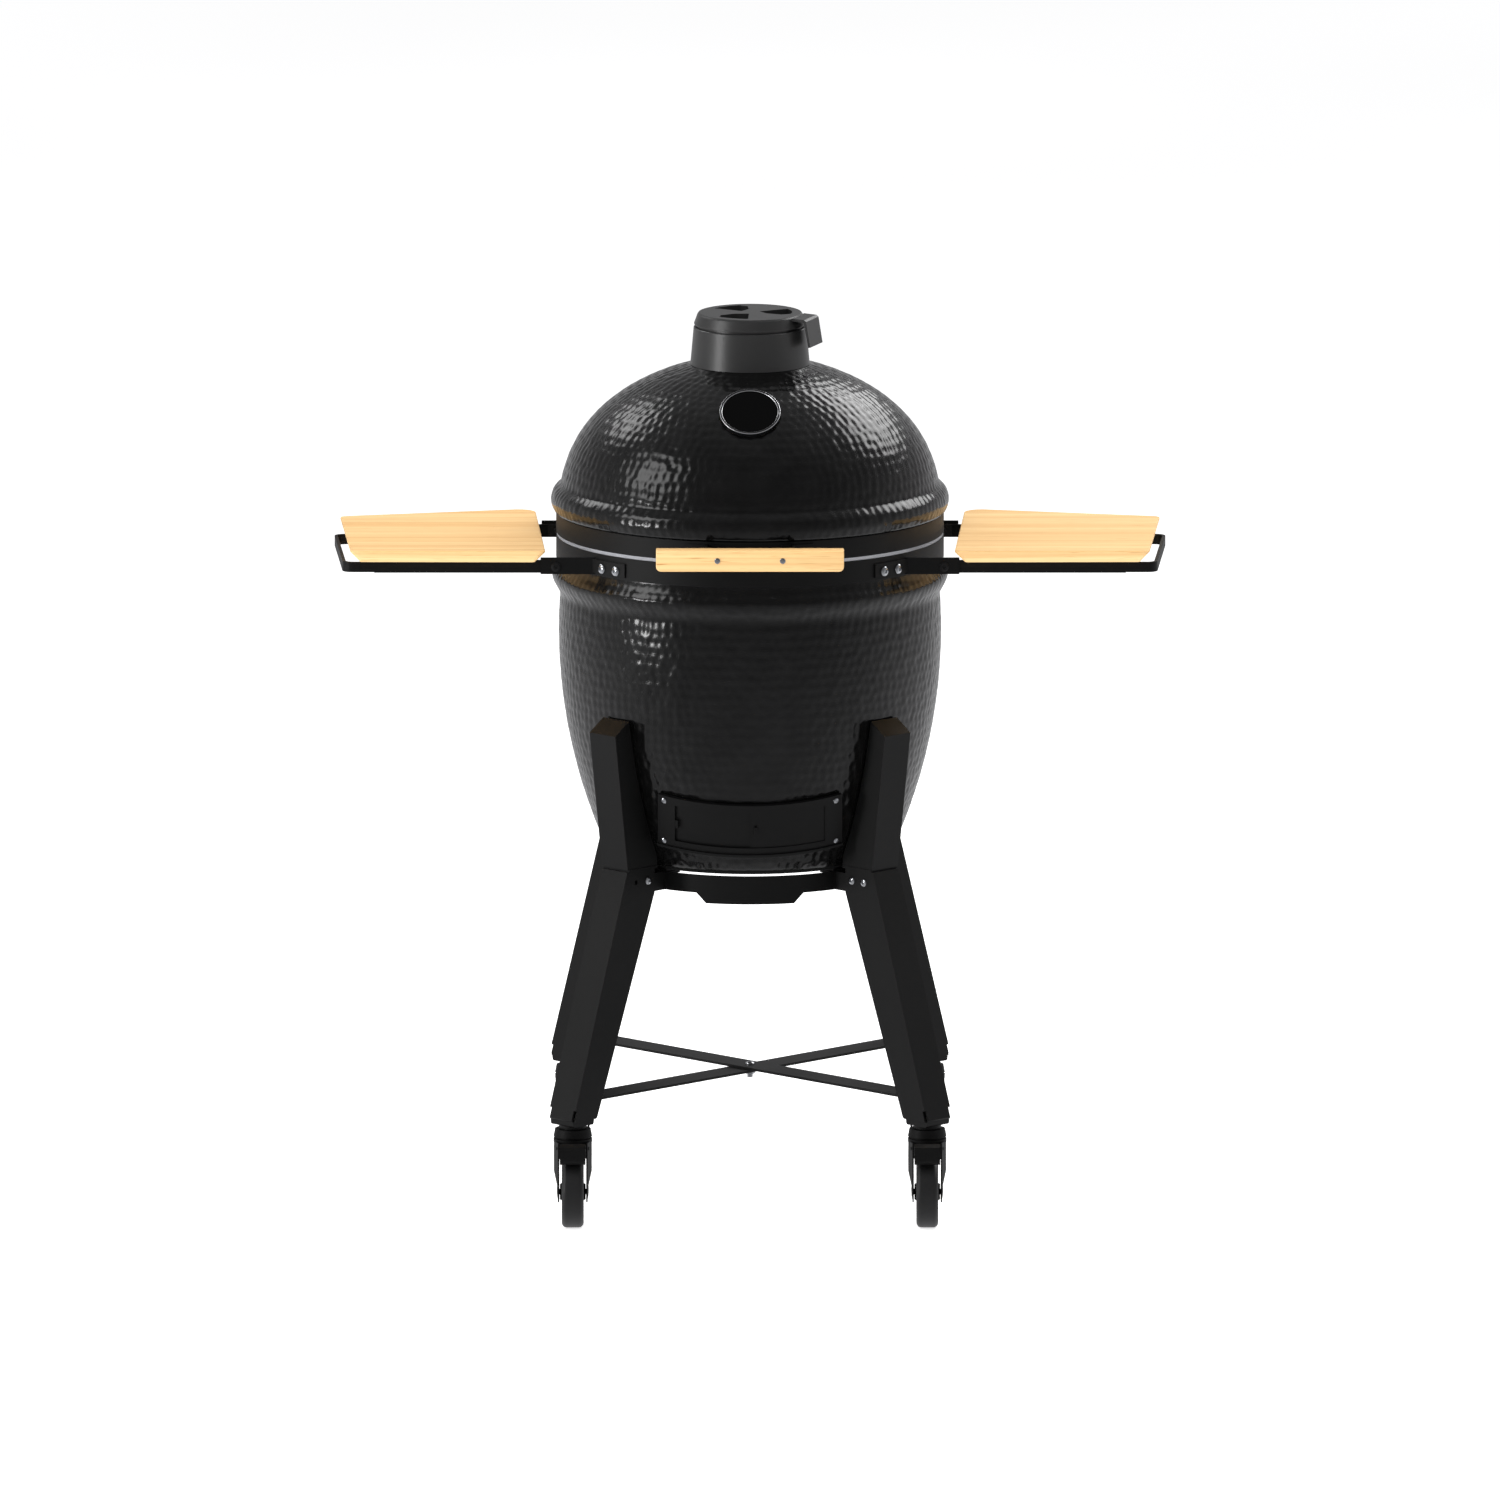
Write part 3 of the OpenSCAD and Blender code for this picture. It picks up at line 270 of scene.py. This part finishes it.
def anthraciteLacquer():
    # anthracite lacquer with fine metal flake: satin, flakes drawn 0.8 mm wide so that they show
    mat, tree, shader, where = newMaterial("anthraciteMetalLacquer", Metallic=0.8)
    flake = add(tree, "TexNoise", {"Vector": where, "Scale": 1250, "Detail": 2})
    film = add(tree, "TexNoise", {"Vector": where, "Scale": 12, "Detail": 2})
    mixed = add(tree, "Math", {0: flake, 1: film}, operation="ADD")
    tint = add(tree, "ValToRGB", {"Fac": mixed}, [(0.35, "#3c3c3c"), (0.65, "#4b4b4b")])
    rough = add(tree, "MapRange", {"Value": film, "To Min": 0.34, "To Max": 0.42})
    bump = add(tree, "Bump", {"Height": flake, "Strength": 0.08, "Distance": 0.0002})
    joinUp(tree, shader, **{"Base Color": tint, "Roughness": rough, "Normal": bump})
    return mat


def oiledWood():
    # planed and oiled light hardwood: straight grain along X in lines 2 to 6 mm apart, with fainter
    # broad shading and pores
    mat, tree, shader, where = newMaterial("oiledLightHardwood", IOR=1.47)
    long = add(tree, "Mapping", {"Vector": where, "Scale": (1.1, 170, 170)})
    grain = add(tree, "TexNoise", {"Vector": long, "Scale": 1, "Detail": 3, "Distortion": 0.1})
    wide = add(tree, "Mapping", {"Vector": where, "Scale": (0.6, 26, 26)})
    boards = add(tree, "TexNoise", {"Vector": wide, "Scale": 1, "Detail": 2})
    fine = add(tree, "Mapping", {"Vector": where, "Scale": (22, 900, 900)})
    pores = add(tree, "TexNoise", {"Vector": fine, "Scale": 1, "Detail": 1})
    base = add(tree, "ValToRGB", {"Fac": grain}, [(0.3, "#e2b67a"), (0.5, "#edc68b"), (0.7, "#f2cf98")])
    shade = add(tree, "ValToRGB", {"Fac": boards}, [(0.3, "#f1e6d8"), (0.65, "#ffffff")])
    tick = add(tree, "ValToRGB", {"Fac": pores}, [(0.22, "#d9c2a2"), (0.34, "#ffffff")])
    # a Mix node set to colour takes its two colours on sockets 6 and 7 and gives the result on socket 2
    multiply = {"data_type": "RGBA", "blend_type": "MULTIPLY"}
    shaded = add(tree, "Mix", {"Factor": 1.0, 6: base, 7: shade}, **multiply)
    pored = add(tree, "Mix", {"Factor": 1.0, 6: shaded.outputs[2], 7: tick}, **multiply)
    rough = add(tree, "MapRange", {"Value": grain, "To Min": 0.42, "To Max": 0.6})
    bump = add(tree, "Bump", {"Height": grain, "Strength": 0.12, "Distance": 0.0003})
    joinUp(tree, shader, **{"Base Color": pored.outputs[2], "Roughness": rough, "Normal": bump})
    return mat


def metalFinish(name, dark, light, gloss, scale, stretch=(1, 1, 1)):
    # bare or plated metal: tint and roughness follow the same fine marks, stretched the way it was worked
    mat, tree, shader, where = newMaterial(name, Metallic=1.0)
    way = add(tree, "Mapping", {"Vector": where, "Scale": stretch})
    marks = add(tree, "TexNoise", {"Vector": way, "Scale": scale, "Detail": 3})
    tint = add(tree, "ValToRGB", {"Fac": marks}, [(0.3, dark), (0.7, light)])
    rough = add(tree, "MapRange", {"Value": marks, "To Min": gloss - 0.05, "To Max": gloss + 0.08})
    bump = add(tree, "Bump", {"Height": marks, "Strength": 0.1, "Distance": 0.0002})
    joinUp(tree, shader, **{"Base Color": tint, "Roughness": rough, "Normal": bump})
    return mat


def mouldedFinish(name, dark, light, gloss, scale, bite, ior=1.5, shine=0.5):
    # cast or moulded stuff that isn't metal to the eye: a grain of its own size in tint, gloss and surface
    mat, tree, shader, where = newMaterial(name, IOR=ior, **{"Specular IOR Level": shine})
    grain = add(tree, "TexNoise", {"Vector": where, "Scale": scale, "Detail": 4, "Roughness": 0.6})
    tint = add(tree, "ValToRGB", {"Fac": grain}, [(0.3, dark), (0.7, light)])
    rough = add(tree, "MapRange", {"Value": grain, "To Min": gloss - 0.06, "To Max": gloss + 0.08})
    bump = add(tree, "Bump", {"Height": grain, "Strength": bite, "Distance": 0.0004})
    joinUp(tree, shader, **{"Base Color": tint, "Roughness": rough, "Normal": bump})
    return mat


def tintedGlass():
    # dark cover glass over the dial, coated against glare: one even black, faint smears in the gloss
    mat, tree, shader, where = newMaterial("tintedCoverGlass", IOR=1.52, **{"Specular IOR Level": 0.12})
    smear = add(tree, "TexNoise", {"Vector": where, "Scale": 60, "Detail": 2})
    tint = add(tree, "ValToRGB", {"Fac": smear}, [(0.3, "#010101"), (0.7, "#010101")])
    rough = add(tree, "MapRange", {"Value": smear, "To Min": 0.02, "To Max": 0.06})
    joinUp(tree, shader, **{"Base Color": tint, "Roughness": rough})
    return mat


glaze, clay = glazedCeramic(), firedClay()
satinBlack = powderCoat("satinBlackPowderCoat", "#050505", "#080808", 0.52)
lacquer, wood = anthraciteLacquer(), oiledWood()
finishes = {
    "black_glaze": glaze,
    "firebrick": clay,
    "cast_iron": mouldedFinish("sandCastIron", "#232324", "#37373a", 0.62, 900, 0.4),
    "stainless_rod": metalFinish("drawnStainlessRod", "#b9b9b6", "#d2d2cf", 0.26, 1200, (1, 0.02, 1)),
    "black_powder_coat": satinBlack,
    "grey_felt": mouldedFinish("greyWoolFelt", "#85868b", "#b2b3b8", 0.92, 1500, 0.6, 1.3),
    "zinc_steel": metalFinish("brightZincPlate", "#b4b6ba", "#d8dade", 0.2, 900),
    "spring_steel": metalFinish("oiledSpringSteel", "#4a4b4e", "#6a6b6e", 0.3, 1500, (0.1, 1, 1)),
    "anthracite_coat": lacquer,
    "black_gloss_plastic": mouldedFinish("glossBlackPhenolic", "#0b0b0c", "#111112", 0.14, 120, 0.03),
    "black_dial": mouldedFinish("mattBlackDialPrint", "#020202", "#050505", 0.7, 700, 0.05, 1.4, 0.1),
    "dark_glass": tintedGlass(),
    "oiled_wood": wood,
    "black_oxide_steel": mouldedFinish("blackOxideSteel", "#0d0d0e", "#151516", 0.45, 700, 0.1, 1.5, 0.25),
    "pad_rubber": mouldedFinish("padRubber", "#1a1a1a", "#232323", 0.72, 800, 0.2),
    "black_nylon": mouldedFinish("mouldedBlackNylon", "#0a0a0a", "#0f0f0f", 0.5, 500, 0.12, 1.53, 0.15),
    "wheel_rubber": mouldedFinish("greyBlackTyreRubber", "#121212", "#181819", 0.5, 700, 0.15, 1.52),
}
bareFoot = mouldedFinish("bareDarkFootRing", "#0c0c0c", "#141414", 0.9, 600, 0.3, 1.4, 0.1)
polishedRim = metalFinish("polishedAluminiumRim", "#dcdde0", "#f4f4f6", 0.3, 600)

for part in frame["record"]["subparts"]:
    node = nodes[part["node"]]
    node.data.materials.clear()
    node.data.materials.append(finishes[part["material_slot"]])
print("materials on", len(nodes), "nodes")

hammered = {
    "across": 12.6, "along": 13.6,           # spacing of the marks in mm, round the egg and up it
    "depth": 1.2, "wide": 3.4, "tall": 3.9,  # mm deep, and how far out a mark has fallen to 0.6 of its depth
    "wander": 0.15, "turn": 0.3,             # how far a mark strays and a ring turns, in spacings
    "power": (0.75, 1.15),                   # the weakest and the strongest mark, in depths
    "rings": 256, "places": 512, "seed": 11,  # the table of random draws
}


def hammerMarks(s, r, angles, h):
    # depth at a grid point, summed over the 9 nearest marks:
    # power * exp(-((side / wide)^2 + (up / tall)^2) / 2)
    # marks stand in rings up the wall, every other ring turned by half a step, and each by a little more
    rng = np.random.default_rng(h["seed"])
    rings, places = h["rings"], h["places"]
    stray = rng.uniform(-h["wander"], h["wander"], (rings, places, 2))
    turn = rng.uniform(0, h["turn"], rings)
    power = rng.uniform(*h["power"], (rings, places))
    total = np.zeros((len(s), len(angles)))
    nearest = np.round(s / h["along"]).astype(int)
    for k in (-1, 0, 1):
        ring = nearest + k
        ringR = np.interp(ring * h["along"], s, r)
        count = np.maximum(6, np.round(2 * pi * ringR / h["across"])).astype(int)
        step = 2 * pi * ringR / count
        shift = 0.5 * (ring % 2) + turn[ring % rings]
        t = angles[None, :] / (2 * pi) * count[:, None] - shift[:, None]
        for j in (-1, 0, 1):
            index = np.round(t).astype(int) + j
            cell = (np.mod(ring, rings)[:, None], np.mod(index, count[:, None]) % places)
            side = (t - index - stray[cell][..., 0]) * step[:, None]
            up = (s - ring * h["along"])[:, None] - stray[cell][..., 1] * h["along"]
            total += power[cell] * np.exp(-((side / h["wide"]) ** 2 + (up / h["tall"]) ** 2) / 2)
    return total


def ceramicShell(name, outer, inner, p, fade, body, node):
    # a turned wall: the outer profile with marks pressed in along its normal, then the plain inner profile
    columns = p["columns"]
    flat = int(outer[0, 0] == 0)      # the base starts on the axis with one plain disc
    line = np.concatenate([outer[:flat], evenly(outer[flat:], p["step"])])
    s = np.concatenate([[0], np.cumsum(np.hypot(*np.diff(line, axis=0).T))])
    slope = np.gradient(line, axis=0)
    normal = np.stack([slope[:, 1], -slope[:, 0]], 1) / np.hypot(*slope.T)[:, None]
    angles = np.arange(columns) / columns * 2 * pi
    marks = hammerMarks(s, line[:, 0], angles, hammered)
    press = marks * hammered["depth"] * fade(line)[:, None]
    ringR = np.concatenate([line[:, 0][:, None] - normal[:, 0][:, None] * press,
                            np.repeat(inner[:, 0][:, None], columns, 1)])
    ringZ = np.concatenate([line[:, 1][:, None] - normal[:, 1][:, None] * press,
                            np.repeat(inner[:, 1][:, None], columns, 1)])
    points = np.stack([ringR * np.cos(angles), ringR * np.sin(angles), ringZ], -1).reshape(-1, 3) * mm
    rows = len(ringR)
    poles = inner[-1, 0] == 0          # the base closes on the axis, the lid is a ring
    if poles:
        # last inner ring and first outer ring shrink to one point each
        quads = gridFaces(rows, columns, False)[columns:-columns]
        j = np.arange(columns)
        k = (j + 1) % columns
        points[0], points[-1] = points[:columns].mean(0), points[-columns:].mean(0)
        tris = np.concatenate([np.stack([np.zeros_like(j), columns + k, columns + j], 1),
                               np.stack([(rows - 2) * columns + j, (rows - 2) * columns + k,
                                         np.full_like(j, rows * columns - 1)], 1)])
    else:
        quads, tris = gridFaces(rows, columns, True), np.zeros((0, 3), int)
    quadRow = quads[:, 0] // columns
    inside = (quadRow >= len(line)).astype(int)
    low = ringZ[np.minimum(quadRow, len(line) - 1), 0] < p["bareBelow"]
    foot = (quadRow < len(line) - 1) & low
    # faces: 0 glazed outside, 1 bare clay inside, 2 bare foot ring
    faceMarks = np.concatenate([np.where(foot, 2, inside), np.repeat([2, 1], len(tris) // 2)])
    piece = meshPiece(name, points, quads, tris, body, [glaze, clay, bareFoot], faceMarks)
    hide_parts(node)
    return piece


def closedCutter(points, faces):
    # a closed body to cut with; the faces that it leaves behind are bare clay
    m = bpy.data.meshes.new("cutter")
    m.from_pydata([tuple(p) for p in points], [], faces)
    for mat in (glaze, clay):
        m.materials.append(mat)
    m.polygons.foreach_set("material_index", np.ones(len(m.polygons), np.int32))
    m.update()
    cutter = bpy.data.objects.new("cutter", m)
    bpy.context.scene.collection.objects.link(cutter)
    return cutter


def cutAway(piece, cutter):
    # boolean difference, applied at once
    mod = piece.modifiers.new("cut", "BOOLEAN")
    mod.operation, mod.solver, mod.object = "DIFFERENCE", "EXACT", cutter
    bpy.context.view_layer.update()
    done = bpy.data.meshes.new_from_object(piece.evaluated_get(bpy.context.evaluated_depsgraph_get()))
    piece.modifiers.clear()
    old, piece.data = piece.data, done
    bpy.data.meshes.remove(old)
    bpy.data.objects.remove(cutter)


def dropLoose(piece):
    # the pole's spare grid points belong to no face, so they go
    bm = bmesh.new()
    bm.from_mesh(piece.data)
    bmesh.ops.delete(bm, geom=[v for v in bm.verts if not v.link_faces], context="VERTS")
    bm.to_mesh(piece.data)
    bm.free()


dome = {"foot": 900, "root": 1.8, "power": 3}
thermometer = {"centre": np.array([0, -180.7, 1117.7]), "tilt": radians(38), "outer": 41.7, "inner": 37.9,
               # radius and reach along the axis of the hole in the lid, and of the one for the stem
               "holes": ((42.1, -14.5, 45), (6, -60, 0)), "holeSides": 96,
               # the ring: edge radius, lowest face, shelf under the glass, bore, and faces round it
               "rim": 0.9, "deep": -14, "shelf": -9, "throat": 30, "columns": 160}
lidShape = {"seat": 262, "low": 922.4, "straightTop": 950.2, "domeR": 266, "domeH": 265, "domeStart": 989,
            # ease keeps the underside's points off the steep end of their curve
            "neck": 60, "flue": 55, "innerR": 242, "innerH": 243, "ease": 0.5,
            # the bead: centre, radius, and the arc's two angles and number of points
            "bead": (248.6, 966.5, 25, -37, 44, 40),
            # points on the dome, crowded by this power towards the bead, and points on the underside
            "domePoints": 200, "crowd": 1.5, "underPoints": 22,
            # the marks grow in above this height over 4 mm, and outside this radius over 10 mm
            "marksFrom": (951, 4), "marksOutside": (80, 10),
            "columns": 640, "step": 2.9, "bareBelow": 0}


def domeHeight(x, r, h):
    # superellipse dome: height = foot + h (1 - (x / r)^root)^(1 / power)
    return dome["foot"] + h * (1 - (x / r) ** dome["root"]) ** (1 / dome["power"])


def domeRadius(z, r, h):
    # the same curve solved for the radius
    return r * (1 - ((z - dome["foot"]) / h) ** dome["power"]) ** (1 / dome["root"])


def tiltedAxes(tilt):
    # across, up the slope and straight out of it
    return np.array([1, 0, 0]), np.array([0, cos(tilt), sin(tilt)]), np.array([0, -sin(tilt), cos(tilt)])


def buildLid(p):
    x0 = domeRadius(p["domeStart"], p["domeR"], p["domeH"])
    x = x0 + (p["neck"] - x0) * np.linspace(0, 1, p["domePoints"]) ** p["crowd"]
    top = np.stack([x, domeHeight(x, p["domeR"], p["domeH"])], 1)
    outer = np.concatenate([[[p["seat"], p["low"]], [p["seat"], p["straightTop"]]],
                            arcPoints(*p["bead"]), top])
    xi = np.linspace(p["flue"], p["innerR"] - p["ease"], p["underPoints"])
    under = np.stack([xi, domeHeight(xi, p["innerR"] + p["ease"], p["innerH"])], 1)
    inner = np.concatenate([[[p["flue"], top[-1, 1]]], under, [[p["innerR"], p["low"]]]])

    def fade(line):
        # plain under the band and close to the chimney
        (z, rise), (r, run) = p["marksFrom"], p["marksOutside"]
        return np.clip((line[:, 1] - z) / rise, 0, 1) * np.clip((line[:, 0] - r) / run, 0, 1)

    lid = ceramicShell("lidGlaze", outer, inner, p, fade, "lid", "lid_shell")
    tilt, sides = thermometer["tilt"], thermometer["holeSides"]
    u, v, n = tiltedAxes(tilt)
    a = np.arange(sides)[:, None] / sides * 2 * pi
    for radius, low, high in thermometer["holes"]:
        ring = (u * np.cos(a) + v * np.sin(a)) * radius + thermometer["centre"]
        faces = [tuple(range(sides - 1, -1, -1)), tuple(range(sides, 2 * sides))]
        faces += [(i, (i + 1) % sides, sides + (i + 1) % sides, sides + i) for i in range(sides)]
        cutAway(lid, closedCutter(np.concatenate([ring + n * low, ring + n * high]) * mm, faces))
    return lid


baseShape = {"footX": 174.1, "footZ": 503, "footR": 30, "wallX": -472, "wallZ": 785, "wallR": 735,
             "seat": 262, "top": 917.6, "floor": 503, "thick": 22, "floorThick": 36, "mouth": 241,
             # points on the foot's arc, and the wall's arc: gap after the foot, last angle, points
             "footPoints": 20, "wallArc": (0.3, 4.1, 160),
             # the bead: centre, radius, and the arc's two angles and number of points; then up to the seat
             "bead": (256, 862, 16, -35, 50, 24), "shoulder": [(263, 883), (262, 886)],
             # height of the lowest of the inner wall's points above the floor, and how many there are
             "innerStart": 20, "innerPoints": 14,
             # the marks grow in above the first height over 8 mm, and fade out below the second over 5 mm
             "marksFrom": (478, 8), "marksTo": (884, 5),
             # the draft opening: height of its middle, lean, half width, depth, and reach of the cut
             "draft": (545, radians(18), 80, 22, (-20, 60)),
             "columns": 560, "step": 3.1, "bareBelow": 479}


def wallRadius(z):
    # the wall is an arc of radius wallR about (wallX, wallZ)
    return baseShape["wallX"] + np.sqrt(baseShape["wallR"] ** 2 - (baseShape["wallZ"] - z) ** 2)


def buildBase(p):
    foot = np.degrees(np.arctan2(p["footZ"] - p["wallZ"], p["footX"] - p["wallX"]))
    gap, wallEnd, wallPoints = p["wallArc"]
    outer = np.concatenate([[[0, p["footZ"] - p["footR"]]],
                            arcPoints(p["footX"], p["footZ"], p["footR"], -90, foot, p["footPoints"]),
                            arcPoints(p["wallX"], p["wallZ"], p["wallR"], foot + gap, wallEnd, wallPoints),
                            arcPoints(*p["bead"]), p["shoulder"], [[p["seat"], p["top"]]]])
    z = np.linspace(p["wallZ"], p["floor"] + p["innerStart"], p["innerPoints"])
    floorRadius = wallRadius(p["floor"]) - p["floorThick"]
    inner = np.concatenate([[[p["mouth"], p["top"]]], np.stack([wallRadius(z) - p["thick"], z], 1),
                            [[floorRadius, p["floor"]], [0, p["floor"]]]])

    def fade(line):
        # marks start at the foot's edge and end under the band
        (low, rise), (high, drop) = p["marksFrom"], p["marksTo"]
        return np.clip((line[:, 1] - low) / rise, 0, 1) * np.clip((high - line[:, 1]) / drop, 0, 1)

    base = ceramicShell("baseGlaze", outer, inner, p, fade, "base", "base_shell")
    z, tilt, half, deep, reach = p["draft"]
    u, v, w = tiltedAxes(tilt)
    origin = np.array([0, -wallRadius(z), z])
    box = [origin + u * x + v * y + w * h for h in (-deep, deep) for y in reach for x in (-half, half)]
    faces = [(0, 2, 3, 1), (4, 5, 7, 6), (0, 1, 5, 4), (2, 6, 7, 3), (0, 4, 6, 2), (1, 3, 7, 5)]
    cutAway(base, closedCutter(np.array(box) * mm, faces))
    return base


lidGlaze = buildLid(lidShape)
print("lid:", len(lidGlaze.data.polygons), "faces")
baseGlaze = buildBase(baseShape)
dropLoose(baseGlaze)
print("base:", len(baseGlaze.data.polygons), "faces")


def turned(name, profile, columns, centre, axis, across, body, node, materials, marks):
    # a closed outline of (radius, height) turned about an axis through centre
    axis, u = np.array(axis, float), np.array(across, float)
    v = np.cross(axis, u)
    a = np.arange(columns) / columns * 2 * pi
    spoke = u[None] * np.cos(a)[:, None] + v[None] * np.sin(a)[:, None]
    line = np.array(profile, float)
    out, along = line[:, 0][:, None, None], line[:, 1][:, None, None]
    points = np.array(centre, float) + spoke[None] * out + axis * along
    piece = meshPiece(name, points.reshape(-1, 3) * mm, gridFaces(len(line), columns, True),
                      np.zeros((0, 3), int), body, materials, np.repeat(marks, columns))
    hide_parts(node)
    return piece


def stacked(name, rings, body, node, material):
    # rings of equal length laid on each other, closed at both ends by a fan round a middle point
    rows, columns = rings.shape[:2]
    middle = rings[[0, -1]].mean(1)
    points = np.concatenate([rings.reshape(-1, 3), middle]) * mm
    j = np.arange(columns)
    k, last, top = (j + 1) % columns, rows * columns, (rows - 1) * columns
    tris = np.concatenate([np.stack([np.full_like(j, last), k, j], 1),
                           np.stack([np.full_like(j, last + 1), top + j, top + k], 1)])
    piece = meshPiece(name, points, gridFaces(rows, columns, False), tris, body, [material])
    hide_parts(node)
    return piece


def cornerWays(corners):
    # at each corner: the directions to its two neighbours, half the angle between them, and the bisector
    q = np.array(corners, float)
    u, v = np.roll(q, 1, 0) - q, np.roll(q, -1, 0) - q
    u, v = u / np.hypot(*u.T)[:, None], v / np.hypot(*v.T)[:, None]
    half = np.arccos((u * v).sum(1)) / 2
    return q, u, v, half, (u + v) / np.hypot(*(u + v).T)[:, None]


def roundedOutline(corners, radii, steps=10):
    # each corner q becomes an arc of radius r about q + bisector * r / sin(half angle)
    q, u, v, half, bisector = cornerWays(corners)
    r = np.array(radii, float)
    mid = q + bisector * (r / np.sin(half))[:, None]
    reach = (r / np.tan(half))[:, None]
    first, end = q + u * reach - mid, q + v * reach - mid
    start = np.arctan2(first[:, 1], first[:, 0])
    turn = (np.arctan2(end[:, 1], end[:, 0]) - start + 3 * pi) % (2 * pi) - pi
    a = start[:, None] + turn[:, None] * np.linspace(0, 1, steps)
    return (mid[:, None] + r[:, None, None] * np.stack([np.cos(a), np.sin(a)], -1)).reshape(-1, 2)


def insetCorners(corners, d):
    # a convex outline moved inwards by d: each corner moves along its bisector by d / sin(half angle)
    q, u, v, half, bisector = cornerWays(corners)
    return q + bisector * (d / np.sin(half))[:, None]


bodyOf = {name: node.parent.name.removeprefix("body:") for name, node in nodes.items() if node.parent}
board = {"corners": [(-564, 96), (-547, -187), (-280, -190), (-296, 159)], "radii": [10, 9, 9, 24],
         "bevel": 13, "leastRadius": 4,
         # height and how far from the lower outline (0) to the upper one (1)
         "rings": [(907, -0.09), (907.3, -0.03), (908, 0), (922.4, 1), (923.6, 1), (924.4, 0.98),
                   (924.85, 0.94), (925, 0.88), (925, 0.8)]}


def buildBoard(side, p):
    high = roundedOutline(p["corners"], p["radii"])
    lowRadii = [max(p["leastRadius"], r - p["bevel"] / 2) for r in p["radii"]]
    low = roundedOutline(insetCorners(p["corners"], p["bevel"]), lowRadii)
    if side == "right":
        high, low = high[::-1] * (-1, 1), low[::-1] * (-1, 1)
    rings = np.array([np.column_stack([low + (high - low) * t, np.full(len(low), z)])
                      for z, t in p["rings"]])
    name = "shelf_board_" + side
    piece = stacked("board" + side.title(), rings, bodyOf[name], name, wood)
    return piece


for side in ("left", "right"):
    buildBoard(side, board)

grip = {"x": 128.5, "low": 916, "high": 945, "radii": [7, 7, 2, 2], "leastRadius": 0.8,
        # distance from front to back, and how far the outline is drawn in there
        "rings": [(-281, 1.4), (-281.3, 0.7), (-282.2, 0), (-303.8, 0), (-304.7, 0.7), (-305, 1.4)]}


def buildGrip(p):
    rings = []
    for y, d in p["rings"]:
        x, low, high = p["x"] - d, p["low"] + d, p["high"] - d
        radii = np.maximum(p["leastRadius"], np.array(p["radii"]) - d)
        line = roundedOutline([(-x, low), (x, low), (x, high), (-x, high)], radii)
        rings.append(np.column_stack([line[:, 0], np.full(len(line), y), line[:, 1]]))
    piece = stacked("gripWood", np.array(rings), bodyOf["handle_grip"], "handle_grip", wood)
    return piece


gripWood = buildGrip(grip)
gripWood.visible_glossy = False           # its close orange mirror image would fill the beads of the glaze
print("boards and grip ready")


def buildBezel(p):
    # black ring with a bright turned edge outside and inside; heights count from its face
    r, rim, deep, shelf, throat = p["inner"], p["rim"], p["deep"], p["shelf"], p["throat"]
    edge = arcPoints(p["outer"] - rim, -rim, rim, 0, 90, 9)
    line = np.concatenate([[[throat, deep], [p["outer"] - 1, deep], [p["outer"], deep + 1]], edge,
                           [[r + rim, 0], [r + 0.8, -0.1], [r + 0.1, -0.7], [r, -rim], [r, shelf],
                            [throat, shelf]]])
    marks = np.zeros(len(line), int)
    marks[4:10] = 1      # the outer edge
    marks[13:14] = 1     # the inner edge
    axis = tiltedAxes(p["tilt"])[2]
    piece = turned("bezelRing", line, p["columns"], p["centre"], axis, (1, 0, 0),
                   bodyOf["thermometer_bezel"], "thermometer_bezel",
                   [finishes["black_gloss_plastic"], polishedRim], marks)
    return piece


buildBezel(thermometer)

wheel = {"radius": 49.3, "half": 15, "place": 243, "trail": 35, "round": 7, "flat": 3, "columns": 128,
         # the arc of each shoulder: two angles and number of points
         "shoulder": (6, 90, 9),
         # radius and half width, from the bore of the hub out to the side of the tread
         "side": [(4.05, 17.6), (10.4, 17.6), (11, 17), (13, 13), (33, 11.6), (34, 12), (36, 14.4),
                  (37.5, 15)],
         "hubPoints": 5}


def buildWheel(end, side, p):
    # rubber tread with round shoulders on a nylon hub
    r, w, c = p["radius"], p["half"], p["round"]
    out = np.array(p["side"])
    first, last, count = p["shoulder"]
    line = np.concatenate([out * (1, -1), arcPoints(r - c, -w + c, c, -last, -first, count),
                           [[r, -p["flat"]], [r, p["flat"]]],
                           arcPoints(r - c, w - c, c, first, last, count), out[::-1]])
    # the hub's faces at both ends of the outline are nylon, 1, and the tread's between them rubber, 0
    marks = np.ones(len(line), int)
    marks[p["hubPoints"]:-p["hubPoints"] - 1] = 0
    name = f"wheel_{end}_{side}"
    x = p["place"] * (1 if side == "right" else -1)
    y = (p["place"] + p["trail"]) * (1 if end == "rear" else -1)
    piece = turned(name + "Tyre", line, p["columns"], (x, y, r), (1, 0, 0), (0, 1, 0), bodyOf[name], name,
                   [finishes["wheel_rubber"], finishes["black_nylon"]], marks)
    return piece


for end in ("front", "rear"):
    for side in ("left", "right"):
        buildWheel(end, side, wheel)
print("bezel and wheels ready")
